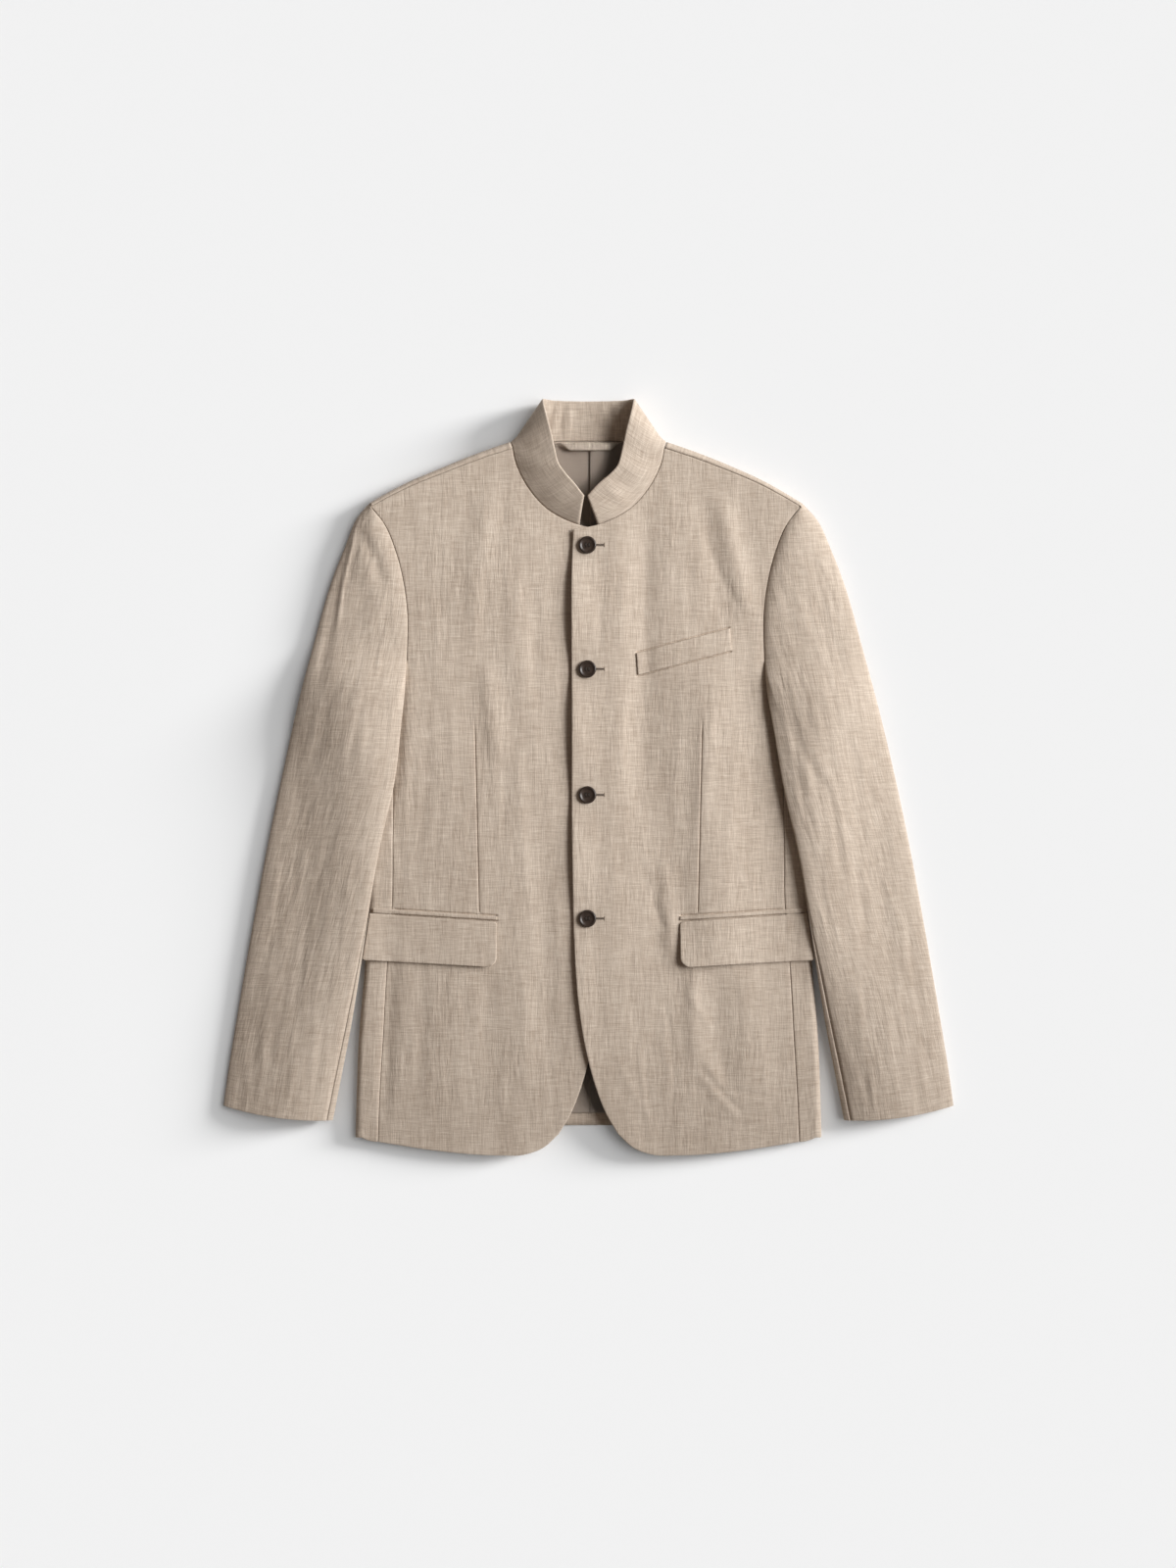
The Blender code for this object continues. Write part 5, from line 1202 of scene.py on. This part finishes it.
collar = shell("collar_cloth", [wrapped], COLLAR_WALL, COLLAR_DROP, linen, bolt=(6.0, 2.4))
settle(collar, "collar", (0.470, 0.060), patch_area(triangles_of(wrapped)))

# %% [markdown]
# ## Pockets
# Each hip pocket is a slit whose edge is bound with a narrow strip, the jet, and covered with a flap. The
# flap hangs from the slit and stands off a little at its free edge, so it throws a shadow. The chest pocket
# has a welt, a folded strip that stands up from its seam. All of them lie on the cloth that is already made,
# so their heights are read off it with rays from above.

# %% Laying a strip on the cloth
FLAP_BOTTOM_INNER, FLAP_BOTTOM_OUTER = Point(95.6, -197.6), Point(235.2, -190.2)
FLAP_CORNER, FLAP_OUTER_CORNER, FLAP_TOP_CORNER, FLAP_STEP = 10.0, 2.5, 4.0, 1.5
FLAP_LIFT, FLAP_CURL, FLAP_END_LIFT, FLAP_END_SHARE = 2.0, 1.5, 1.2, 0.14
FLAP_INNER_LIFT, FLAP_INNER_SHARE = {LEFT: 3.8, RIGHT: 2.2}, 0.7
JET_SHARE, JET_STEP = 0.975, 1.4
WELT_CORNER, WELT_STEP = 0.8, 1.5
RAY_HEIGHT, DROP_SHARE = 200.0, 0.45


def cloth_tree(*patches):
    """A tree of faces, to find the height of the cloth at a place."""
    starts = np.cumsum([0] + [len(patch.points) for patch in patches])
    faces = np.vstack([patch.faces + start for patch, start in zip(patches, starts)])
    return BVHTree.FromPolygons(np.vstack([patch.points for patch in patches]).tolist(), faces.tolist())


def cloth_height(tree, x, y):
    """Height of the highest cloth at a place or close beside it, so that a seam's gap is passed over."""
    down = Vector((0.0, 0.0, -1.0))
    hits = [tree.ray_cast(Vector((x + shift, y, RAY_HEIGHT)), down)[0] for shift in (0.0, -1.0, 1.0)]
    return max(hit.z for hit in hits if hit)


def heights_on(tree, places):
    """Heights of the cloth at many places."""
    return np.array([cloth_height(tree, x, y) for x, y in places])


def sewn_on(name, node, patch, thickness, flat, bolt):
    """A small piece of linen on the cloth, with all its edges turned."""
    piece = shell(name, [patch], thickness, min(TURNED_DROP, DROP_SHARE * thickness), linen, bolt)
    settle(piece, node, flat, patch_area(patch))
    return piece


trees = {side: cloth_tree(surfaces["front", side], surfaces["side", side]) for side, _ in SIDES}
print("height of the cloth under each button in mm:",
      [round(cloth_height(trees[LEFT], BUTTON_X, y), 1) for y in BUTTON_Y])

# %% Flaps, jets and the chest welt
def flap_patch(side):
    """A pocket flap with rounded lower corners, standing off a little at its free edge."""
    corners = np.array([FLAP_BOTTOM_INNER, FLAP_BOTTOM_OUTER, FLAP_TOP_OUTER, FLAP_TOP_INNER])
    radii = (FLAP_CORNER, FLAP_OUTER_CORNER, WELT_CORNER, FLAP_TOP_CORNER)
    places, faces, sunk = filled(rounded_outline(corners, radii), FLAP_STEP)
    over = (places[:, 0] - FLAP_TOP_INNER.x) / (FLAP_TOP_OUTER.x - FLAP_TOP_INNER.x)
    top = FLAP_TOP_INNER.y + (FLAP_TOP_OUTER.y - FLAP_TOP_INNER.y) * over
    down = np.clip((top - places[:, 1]) / (FLAP_TOP_INNER.y - FLAP_BOTTOM_INNER.y), 0.0, 1.0)
    lift = FLAP_LIFT * down ** FLAP_CURL + FLAP_END_LIFT * soft(1.0 - (1.0 - over) / FLAP_END_SHARE)
    lift = lift + FLAP_INNER_LIFT[side] * soft(1.0 - over / FLAP_INNER_SHARE) * down
    cut = places.copy()
    seat = np.column_stack([np.minimum(places[:, 0], reach_at(places[:, 1]) - 1.0) * side, places[:, 1]])
    height = heights_on(trees[side], seat) + LAY_GAP + FLAP_WALL + lift
    return flat_patch(places * np.array([side, 1.0]), faces, height, cut, sunk)


def strip_patch(side, corners, step, lift):
    """A jet or a welt that lies on a front."""
    places, faces, sunk = filled(rounded_outline(np.array(corners), [WELT_CORNER] * 4), step)
    cut = places.copy()
    places = places * np.array([side, 1.0])
    return flat_patch(places, faces, heights_on(trees[side], places) + lift, cut, sunk)


for side, word in SIDES:
    sewn_on(f"pocket_flap_{word}_cloth", f"pocket_flap_{word}", flap_patch(side), FLAP_WALL, (0.141, 0.051),
            (8.013 * side, 0.77))
    rise, sink = np.array([0.0, JET_WIDTH + JET_GAP]), np.array([0.0, JET_GAP])
    jet_end = np.array(FLAP_TOP_INNER) * (1.0 - JET_SHARE) + np.array(FLAP_TOP_OUTER) * JET_SHARE
    corners = (FLAP_TOP_INNER + sink, jet_end + sink, jet_end + rise, FLAP_TOP_INNER + rise)
    jet = strip_patch(side, corners, JET_STEP, LAY_GAP + JET_WALL)
    sewn_on(f"pocket_jet_{word}_cloth", f"pocket_jet_{word}", jet, JET_WALL, (0.128, 0.011),
            (9.017 * side, 0.31))
corners = (WELT_BOTTOM_INNER, WELT_BOTTOM_OUTER, WELT_TOP_OUTER, WELT_TOP_INNER)
welt = strip_patch(LEFT, corners, WELT_STEP, LAY_GAP + WELT_WALL)
sewn_on("chest_welt_cloth", "chest_welt", welt, WELT_WALL, (0.102, 0.026), (10.021, 0.53))

# %% [markdown]
# ## Inside the neck
# The back is lined with a smooth cloth in two halves that lap in a pleat at the centre, which gives the back
# room to move. A short strip of linen across the top of the lining is what the jacket hangs by.

# %% The lining
LINING_HEM_Y, LINING_NECK_GAP, LINING_SHOULDER_GAP, LINING_STEP = -350.0, 1.0, 4.0, 5.5
LINING_EDGE = [Point(150.0, -350.0), Point(150.0, 0.0), Point(140.0, 200.0), Point(95.0, 300.0)]
PLEAT_X, PLEAT_LAP, PLEAT_LIFT, PLEAT_FLAT, PLEAT_FADE = 1.5, 11.0, 2.3, 15.0, 26.0
PLEAT_LOW, PLEAT_LOW_Y, PLEAT_LOW_FADE = 0.5, -240.0, 160.0
LINING_WAVE, LINING_WAVE_WIDE, LINING_WAVE_LONG, LINING_CLEAR = 0.35, 16.0, 120.0, 20.0
LINING_HEM_LIFT, LINING_HEM_REACH, LINING_DROP, LINING_SEED = 0.8, 7.0, 0.35, 51


def lining_patch(side):
    """Half of the back lining; the left half laps over the right one at the pleat."""
    inner = PLEAT_X if side == LEFT else -PLEAT_X - PLEAT_LAP
    shoulder = shoulder_lines(SHOULDER_MARKS)[0][0]
    edge = LINING_EDGE + [Point(*(shoulder - np.array([LINING_SHOULDER_GAP, LINING_NECK_GAP])))]
    neck = np.array([edge[-1]] + BACK_NECK[::-1]) - np.array([0.0, LINING_NECK_GAP])
    start = Point(inner, LINING_HEM_Y)
    lines = [(start, edge[0]), edge, neck]
    if side == RIGHT:
        lines.append((neck[-1], Point(inner, neck[-1][1])))
    else:
        lines[2] = np.vstack([neck[:-1], [[inner, neck[-1][1]]]])
    lines.append((Point(inner, neck[-1][1]), start))
    places, faces, sunk = filled(np.vstack([edge_line(np.array(line)) for line in lines]), LINING_STEP)
    x, y = places.T
    lap = 1.0 - soft((x - PLEAT_FLAT) / PLEAT_FADE) if side == LEFT else np.zeros(len(x))
    lap = lap * (PLEAT_LOW + (1.0 - PLEAT_LOW) * soft((y - PLEAT_LOW_Y) / PLEAT_LOW_FADE))
    hem = LINING_HEM_LIFT * (1.0 - soft((y - LINING_HEM_Y) / LINING_HEM_REACH))
    wave = LINING_WAVE * (1.0 + rumple(x / LINING_WAVE_WIDE, y / LINING_WAVE_LONG, LINING_SEED + side))
    wave = wave * soft((x - inner) / LINING_CLEAR)
    height = BACK_WALL + SEAM_GAP + LINING_WALL + PLEAT_LIFT * lap + wave + hem
    return flat_patch(places * np.array([side, 1.0]), faces, height, places, sunk)


for side, word in SIDES:
    half = lining_patch(side)
    lining = shell(f"lining_{word}_cloth", [half], LINING_WALL, LINING_DROP, lining_cloth,
                   bolt=(0.5 * side, 0.5))
    settle(lining, f"lining_{word}", (0.165, 0.702), patch_area(half))

# %% The hanger strip
LOOP_TOP_Y, LOOP_BOTTOM_Y, LOOP_TOP_HALF, LOOP_BOTTOM_HALF, LOOP_ARCH = 348.6, 340.4, 31.9, 21.4, 1.1
LOOP_STEP, LOOP_SLACK, LOOP_ASIDE = 1.2, 1.6, 1.2
corners = np.array([(-LOOP_BOTTOM_HALF, LOOP_BOTTOM_Y), (LOOP_BOTTOM_HALF, LOOP_BOTTOM_Y),
                    (LOOP_TOP_HALF, LOOP_TOP_Y), (-LOOP_TOP_HALF, LOOP_TOP_Y)]) + np.array([LOOP_ASIDE, 0.0])
places, faces, sunk = filled(rounded_outline(corners, [WELT_CORNER] * 4), LOOP_STEP)
up = (places[:, 1] - LOOP_BOTTOM_Y) / (LOOP_TOP_Y - LOOP_BOTTOM_Y)
half = LOOP_BOTTOM_HALF + (LOOP_TOP_HALF - LOOP_BOTTOM_HALF) * up
arch = LOOP_ARCH * (1.0 - ((places[:, 0] - LOOP_ASIDE) / half) ** 2)
seat = BACK_WALL + LINING_WALL + PLEAT_LIFT + LAY_GAP * 2.0 + LOOP_WALL + LOOP_SLACK
strip = flat_patch(places, faces, seat + arch, places, sunk)
sewn_on("hanger_strip_cloth", "hanger_loop", strip, LOOP_WALL, (0.062, 0.011), (11.3, 0.2))

# %% [markdown]
# ## Buttons
# A horn button is turned on a lathe: a raised rim, a dished middle and four holes. Spin or Screw would turn
# a profile too; here the rings are made from the profile directly, which keeps the poles closed. The four
# holes are cut with a Boolean, as a drill would.

# %% A button on the lathe
BUTTON_RINGS = [Point(7.4, 0.0), Point(8.3, 0.25), Point(8.85, 0.8), Point(9.1, 1.5), Point(9.1, 2.1),
                Point(8.95, 2.6), Point(8.6, 3.0), Point(8.1, 3.2), Point(7.5, 3.2), Point(7.0, 3.0),
                Point(6.6, 2.7), Point(6.1, 2.4), Point(5.3, 2.22), Point(4.0, 2.13), Point(2.6, 2.1),
                Point(1.3, 2.1)]
BUTTON_DISH, BUTTON_SEGMENTS = 2.1, 72
HOLE_OFFSET, HOLE_RADIUS, HOLE_SEGMENTS = 1.5, 0.95, 24
HOLE_ENDS = (-1.0, 5.0)


def mesh_object(name, points, faces, surface):
    """A smooth mesh object, from points in millimetres."""
    mesh = bpy.data.meshes.new(name)
    mesh.from_pydata((np.asarray(points, float) * MM).tolist(), [], faces)
    mesh.polygons.foreach_set("use_smooth", np.ones(len(mesh.polygons), bool))
    mesh.materials.append(surface)
    made = bpy.data.objects.new(name, mesh)
    bpy.context.scene.collection.objects.link(made)
    return made


def ring(radius, z, segments, middle=(0.0, 0.0)):
    """Points on a level circle."""
    angle = np.linspace(0.0, 2.0 * math.pi, segments, endpoint=False)
    return np.column_stack([middle[0] + radius * np.cos(angle), middle[1] + radius * np.sin(angle),
                            np.full(segments, z)])


def turned_button(name, middle):
    """A button body, from the middle of its underside round the rim to the middle of its dish."""
    points = np.vstack([[[0.0, 0.0, 0.0]]] + [ring(size.x, size.y, BUTTON_SEGMENTS) for size in BUTTON_RINGS]
                       + [[[0.0, 0.0, BUTTON_DISH]]])
    faces, top = [], len(points) - 1
    for k in range(BUTTON_SEGMENTS):
        after = (k + 1) % BUTTON_SEGMENTS
        faces.append([0, 1 + after, 1 + k])
        for number in range(len(BUTTON_RINGS) - 1):
            low = 1 + number * BUTTON_SEGMENTS
            high = low + BUTTON_SEGMENTS
            faces.append([low + k, low + after, high + after, high + k])
        faces.append([top - BUTTON_SEGMENTS + k, top - BUTTON_SEGMENTS + after, top])
    return mesh_object(name, points + np.array(middle), faces, horn)


print("width of a button in mm:", 2.0 * max(size.x for size in BUTTON_RINGS))

# %% Four holes, and a seat for each button
SEAT_POINTS, SHARP_DEG = 16, 50.0


def hole_pins(name, middle):
    """Four pins that cut the holes of a button."""
    points, faces = np.zeros((0, 3)), []
    for x in (-HOLE_OFFSET, HOLE_OFFSET):
        for y in (-HOLE_OFFSET, HOLE_OFFSET):
            low = list(range(len(points), len(points) + HOLE_SEGMENTS))
            high = [corner + HOLE_SEGMENTS for corner in low]
            points = np.vstack([points] + [ring(HOLE_RADIUS, z, HOLE_SEGMENTS, (x, y)) for z in HOLE_ENDS])
            faces += [low[::-1], high]
            faces += [[low[k - 1], low[k], high[k], high[k - 1]] for k in range(HOLE_SEGMENTS)]
    return mesh_object(name, points + np.array(middle), faces, horn)


def applied(piece):
    """Turns what a piece's modifiers make into its plain mesh."""
    made = bpy.data.meshes.new_from_object(piece.evaluated_get(bpy.context.evaluated_depsgraph_get()))
    piece.modifiers.clear()
    piece.data = made
    return piece


seats = []
for number, y in enumerate(BUTTON_Y, 1):
    around = ring(BUTTON_RINGS[3].x, 0.0, SEAT_POINTS, (BUTTON_X, y))
    seat = max(cloth_height(trees[LEFT], x, place) for x, place, _ in around) + LAY_GAP
    seats.append((BUTTON_X, y, seat))
    button, pins = turned_button(f"horn_button_{number}", seats[-1]), hole_pins("pins", seats[-1])
    cut = button.modifiers.new("holes", "BOOLEAN")
    cut.operation, cut.solver, cut.object = "DIFFERENCE", "EXACT", pins
    applied(button)
    button.data.set_sharp_from_angle(angle=math.radians(SHARP_DEG))
    bpy.data.objects.remove(pins, do_unlink=True)
    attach(button, "root")
    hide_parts(f"button_{number}")
print("buttons at heights in mm:", [round(seat[2], 1) for seat in seats])

# %% [markdown]
# ## Threads: buttonholes and button sewing
# A buttonhole is a slit whose edges are bound with close stitches, and a bar closes its end. The same
# thread holds the buttons through their holes. Both are rows of short stitches that follow a line, which is
# what Geometry Nodes are good at: one tree makes a stitch, sets it along a line at a spacing and turns it
# across, with a small random lean.

# %% A row of stitches as a node tree
STITCH_STEPS, STITCH_SIDES = 6, 6


def stitch_tree():
    """Stitches across a line: the mesh's edges are the line, in metres."""
    tree = bpy.data.node_groups.new("row_of_stitches", "GeometryNodeTree")
    named_sockets(tree, "INPUT", (("Line", "Geometry"), ("Spacing", "Float"), ("Stitch Length", "Float"),
                                  ("Stitch Rise", "Float"), ("Thread Radius", "Float"), ("Lean", "Float"),
                                  ("Seed", "Int"), ("Thread", "Material")))
    named_sockets(tree, "OUTPUT", (("Stitches", "Geometry"),))
    given = tree.nodes.new("NodeGroupInput").outputs
    line = add_node(tree, "GeometryNodeMeshToCurve", (), [("Mesh", given["Line"])])
    places = add_node(tree, "GeometryNodeCurveToPoints", [("mode", "LENGTH")],
                      [("Curve", line.outputs[0]), ("Length", given["Spacing"])])
    half = math_node(tree, "MULTIPLY", given["Stitch Length"], 0.5)
    back_half = math_node(tree, "MULTIPLY", half, -1.0)
    first = add_node(tree, "ShaderNodeCombineXYZ", (), [("Y", back_half)]).outputs[0]
    middle = add_node(tree, "ShaderNodeCombineXYZ", (), [("Z", given["Stitch Rise"])]).outputs[0]
    last = add_node(tree, "ShaderNodeCombineXYZ", (), [("Y", half)]).outputs[0]
    bow = add_node(tree, "GeometryNodeCurveQuadraticBezier", (),
                   [("Resolution", STITCH_STEPS), ("Start", first), ("Middle", middle), ("End", last)])
    round_thread = add_node(tree, "GeometryNodeCurvePrimitiveCircle", (),
                            [("Resolution", STITCH_SIDES), ("Radius", given["Thread Radius"])])
    stitch = add_node(tree, "GeometryNodeCurveToMesh", (),
                      [("Curve", bow.outputs[0]), ("Profile Curve", round_thread.outputs[0]),
                       ("Fill Caps", True)])
    turn = add_node(tree, "FunctionNodeAlignRotationToVector", [("axis", "X"), ("pivot_axis", "Z")],
                    [("Vector", places.outputs["Tangent"])])
    chance = add_node(tree, "FunctionNodeRandomValue", [("data_type", "FLOAT")],
                      [(2, math_node(tree, "MULTIPLY", given["Lean"], -1.0)), (3, given["Lean"]),
                       ("Seed", given["Seed"])])
    lean = add_node(tree, "ShaderNodeCombineXYZ", (), [("Z", chance.outputs[1])]).outputs[0]
    lean = add_node(tree, "FunctionNodeEulerToRotation", (), [(0, lean)]).outputs[0]
    turned = add_node(tree, "FunctionNodeRotateRotation", [("rotation_space", "LOCAL")],
                      [("Rotation", turn.outputs[0]), ("Rotate By", lean)])
    row = add_node(tree, "GeometryNodeInstanceOnPoints", (),
                   [("Points", places.outputs["Points"]), ("Instance", stitch.outputs[0]),
                    ("Rotation", turned.outputs[0])])
    real = add_node(tree, "GeometryNodeRealizeInstances", (), [("Geometry", row.outputs[0])])
    smooth = add_node(tree, "GeometryNodeSetShadeSmooth", (), [("Geometry", real.outputs[0])])
    finished = add_node(tree, "GeometryNodeSetMaterial", (),
                        [("Geometry", smooth.outputs[0]), ("Material", given["Thread"])])
    out = tree.nodes.new("NodeGroupOutput")
    tree.links.new(finished.outputs[0], out.inputs[0])
    return tree


stitches = stitch_tree()
print("nodes in a row of stitches:", len(stitches.nodes))

# %% Sewing along lines
def stitched(name, lines, thread, spacing, length, rise, radius, lean, seed):
    """A piece of stitches across lines of points in millimetres."""
    points, edges = [], []
    for line in lines:
        edges += [(len(points) + k, len(points) + k + 1) for k in range(len(line) - 1)]
        points += [tuple(np.asarray(point) * MM) for point in line]
    mesh = bpy.data.meshes.new(name)
    mesh.from_pydata(points, edges, [])
    made = bpy.data.objects.new(name, mesh)
    bpy.context.scene.collection.objects.link(made)
    row = made.modifiers.new("stitches", "NODES")
    row.node_group = stitches
    sockets = {item.name: item.identifier for item in stitches.interface.items_tree if item.in_out == "INPUT"}
    sizes = {"Spacing": spacing, "Stitch Length": length, "Stitch Rise": rise, "Thread Radius": radius}
    for key, value in sizes.items():
        row[sockets[key]] = value * MM
    row[sockets["Lean"]], row[sockets["Seed"]], row[sockets["Thread"]] = math.radians(lean), seed, thread
    applied(made)
    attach(made, "root")
    print(name, "faces:", len(made.data.polygons))
    return made


# %% Buttonholes and button threads
# The slit's width and lift size a thin dark strip, which is painted shade in each open buttonhole slit.
HOLE_FROM_X, HOLE_TO_X, HOLE_EDGE, SLIT_SHADE_WIDTH, SLIT_STEPS = -5.0, 16.2, 0.85, 0.9, 44
STITCH_LIFT, BAR_LIFT, SLIT_SHADE_LIFT, BAR_PAST, BAR_HALF = 0.06, 0.1, 0.16, 0.5, 2.1
THREAD_HALF, THREAD_LIFT, THREAD_PAST = 0.5, 0.15, 0.5
BAR_STEPS, THREAD_STEPS = 9, 5


def on_cloth(x, y, lift):
    """A place on the left front, a little over the cloth."""
    return (x, y, cloth_height(trees[LEFT], x, y) + lift)


# The third list holds the painted shade strips, one over each buttonhole slit.
edges_of_holes, end_bars, slit_shades = [], [], []
for y in BUTTON_Y:
    places = np.linspace(HOLE_FROM_X, HOLE_TO_X, SLIT_STEPS)
    for shift in (-HOLE_EDGE, HOLE_EDGE):
        edges_of_holes.append([on_cloth(x, y + shift, STITCH_LIFT) for x in places])
    end_bars.append([on_cloth(HOLE_TO_X + BAR_PAST, y + shift, BAR_LIFT)
                     for shift in np.linspace(-BAR_HALF, BAR_HALF, BAR_STEPS)])
    slit_shades.append(np.array([[on_cloth(x, y + shift, SLIT_SHADE_LIFT) for x in places]
                           for shift in (-SLIT_SHADE_WIDTH / 2, SLIT_SHADE_WIDTH / 2)]))
stitched("buttonhole_stitches", edges_of_holes, hole_thread, spacing=0.36, length=0.85, rise=0.16,
         radius=0.13, lean=9.0, seed=3)
stitched("buttonhole_end_bars", end_bars, hole_thread, spacing=0.3, length=0.8, rise=0.25, radius=0.16,
         lean=12.0, seed=5)
# Painted shade: a thin dark strip in thread colour over each buttonhole slit stands for the shade in the open
# cut.
points, faces = [], []
for strip in slit_shades:
    ids = len(points) + np.arange(2 * SLIT_STEPS).reshape(2, SLIT_STEPS)
    points += strip.reshape(-1, 3).tolist()
    ids = ids.tolist()
    faces += [[ids[0][k], ids[0][k + 1], ids[1][k + 1], ids[1][k]] for k in range(SLIT_STEPS - 1)]
slit = mesh_object("buttonhole_slit_shades", points, faces, dark_thread_and_slit_shade)
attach(slit, "root")
bars = []
for x, y, seat in seats:
    for across in (-HOLE_OFFSET, HOLE_OFFSET):
        bars.append([(x + across + shift, y, seat + BUTTON_DISH + THREAD_LIFT)
                     for shift in np.linspace(-THREAD_HALF, THREAD_HALF, THREAD_STEPS)])
stitched("button_threads", bars, dark_thread_and_slit_shade, spacing=0.24, length=2.0 * HOLE_OFFSET + THREAD_PAST,
         rise=0.75, radius=0.17, lean=4.0, seed=7)

# %% [markdown]
# ## Floor, light and camera
# The jacket was photographed from straight above on a white ground, in soft light from its left shoulder.
# Shadows on the ground and shades on the cloth do not follow one lamp in the photo, as in many studio
# pictures, so each has its own. On the ground a low sun throws the long pale shadow, a broad one softens it
# and a top light fills it. On the jacket a key light models the creases, two lamps lift the chest and the
# hip and a weak warm fill opens the dark side. The lining and the hanger strip lie out of its reach. Light
# linking keeps them apart. The camera stands far away, so that the collar and the hem are drawn at almost
# the same scale.

# %% The ground
FLOOR_HALF, FLOOR_Z = 30.0, -0.0005
floor_surface, _, floor_shader = new_finish("white_ground")
floor_shader.inputs["Base Color"].default_value = (0.9, 0.9, 0.9, 1.0)
floor_shader.inputs["Roughness"].default_value = 0.9
floor_shader.inputs["Specular IOR Level"].default_value = 0.1
corners = [(x, y, FLOOR_Z) for x, y in ((-FLOOR_HALF, -FLOOR_HALF), (FLOOR_HALF, -FLOOR_HALF),
                                        (FLOOR_HALF, FLOOR_HALF), (-FLOOR_HALF, FLOOR_HALF))]
floor_mesh = bpy.data.meshes.new("floor")
floor_mesh.from_pydata(corners, [], [(0, 1, 2, 3)])
floor_mesh.materials.append(floor_surface)
floor = bpy.data.objects.new("floor", floor_mesh)
bpy.context.scene.collection.objects.link(floor)
floor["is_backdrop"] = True
print("width of the ground in m:", 2.0 * FLOOR_HALF)

# %% What each light falls on
SKY = 0.07
world = bpy.data.worlds.new("studio")
world.use_nodes = True
world.node_tree.nodes["Background"].inputs["Color"].default_value = (1.0, 1.0, 1.0, 1.0)
world.node_tree.nodes["Background"].inputs["Strength"].default_value = SKY
bpy.context.scene.world = world
bpy.context.scene.view_settings.view_transform = "Standard"

lit_groups = [bpy.data.collections.new(f"lit_{name}") for name in ("ground", "jacket", "outside")]
on_ground, on_jacket, on_outside = lit_groups
on_ground.objects.link(floor)
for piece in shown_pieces():
    on_jacket.objects.link(piece)
    if not piece.name.startswith(("lining", "hanger")):
        on_outside.objects.link(piece)

# %% The lights
Sun = namedtuple("Sun", "name energy height turn angle lit")
Lamp = namedtuple("Lamp", "name energy height turn aim size spread")
SUNS = [Sun("side_light", 5.69, 13.5, 17.0, 16.0, on_ground),
        Sun("broad_light", 1.68, 40.0, 17.0, 60.0, on_ground),
        Sun("top_light", 0.46, 90.0, 0.0, 120.0, on_ground),
        Sun("fill_light", 0.2, 90.0, 0.0, 170.0, on_outside),
        Sun("key_light", 3.54, 32.5, 18.0, 44.0, on_jacket)]
LAMPS = [Lamp("chest_light", 0.5, 42.0, 8.0, (-0.02, 0.23, 0.0), 0.6, 17.0),
         Lamp("hip_light", 0.035, 55.0, 8.0, (0.17, -0.15, 0.0), 0.3, 7.0)]
LIGHT_FAR = 3.0
FILL_COLOUR = (1.0, 0.65, 0.4)


def add_light(light, kind, aim, lit):
    """A light at a height over the ground and a turn from the jacket's left, both in degrees."""
    height, turn = math.radians(light.height), math.radians(light.turn)
    way = Vector((math.cos(height) * math.cos(turn), math.cos(height) * math.sin(turn), math.sin(height)))
    data = bpy.data.lights.new(light.name, kind)
    data.energy = light.energy
    made = bpy.data.objects.new(light.name, data)
    made.location = Vector(aim) + way * LIGHT_FAR
    made.rotation_euler = way.to_track_quat("Z", "Y").to_euler()
    made.light_linking.receiver_collection = lit
    bpy.context.scene.collection.objects.link(made)
    return data


for sun in SUNS:
    data = add_light(sun, "SUN", (0.0, 0.0, 0.0), sun.lit)
    data.angle = math.radians(sun.angle)
    if sun.lit == on_outside:
        data.color = FILL_COLOUR
for lamp in LAMPS:
    data = add_light(lamp, "AREA", lamp.aim, on_jacket)
    data.size, data.spread = lamp.size, math.radians(lamp.spread)

# %% Camera
CAMERA_PLACE, CAMERA_LENS, CAMERA_SENSOR = (-0.0005, -0.0071, 4.013), 88.24, 36.0
camera_data = bpy.data.cameras.new("camera")
camera_data.lens = CAMERA_LENS
camera_data.sensor_width = CAMERA_SENSOR
camera = bpy.data.objects.new("camera", camera_data)
camera.location = CAMERA_PLACE
bpy.context.scene.collection.objects.link(camera)
bpy.context.scene.camera = camera
print("camera over the ground in m:", CAMERA_PLACE[2], "lens in mm:", CAMERA_LENS)
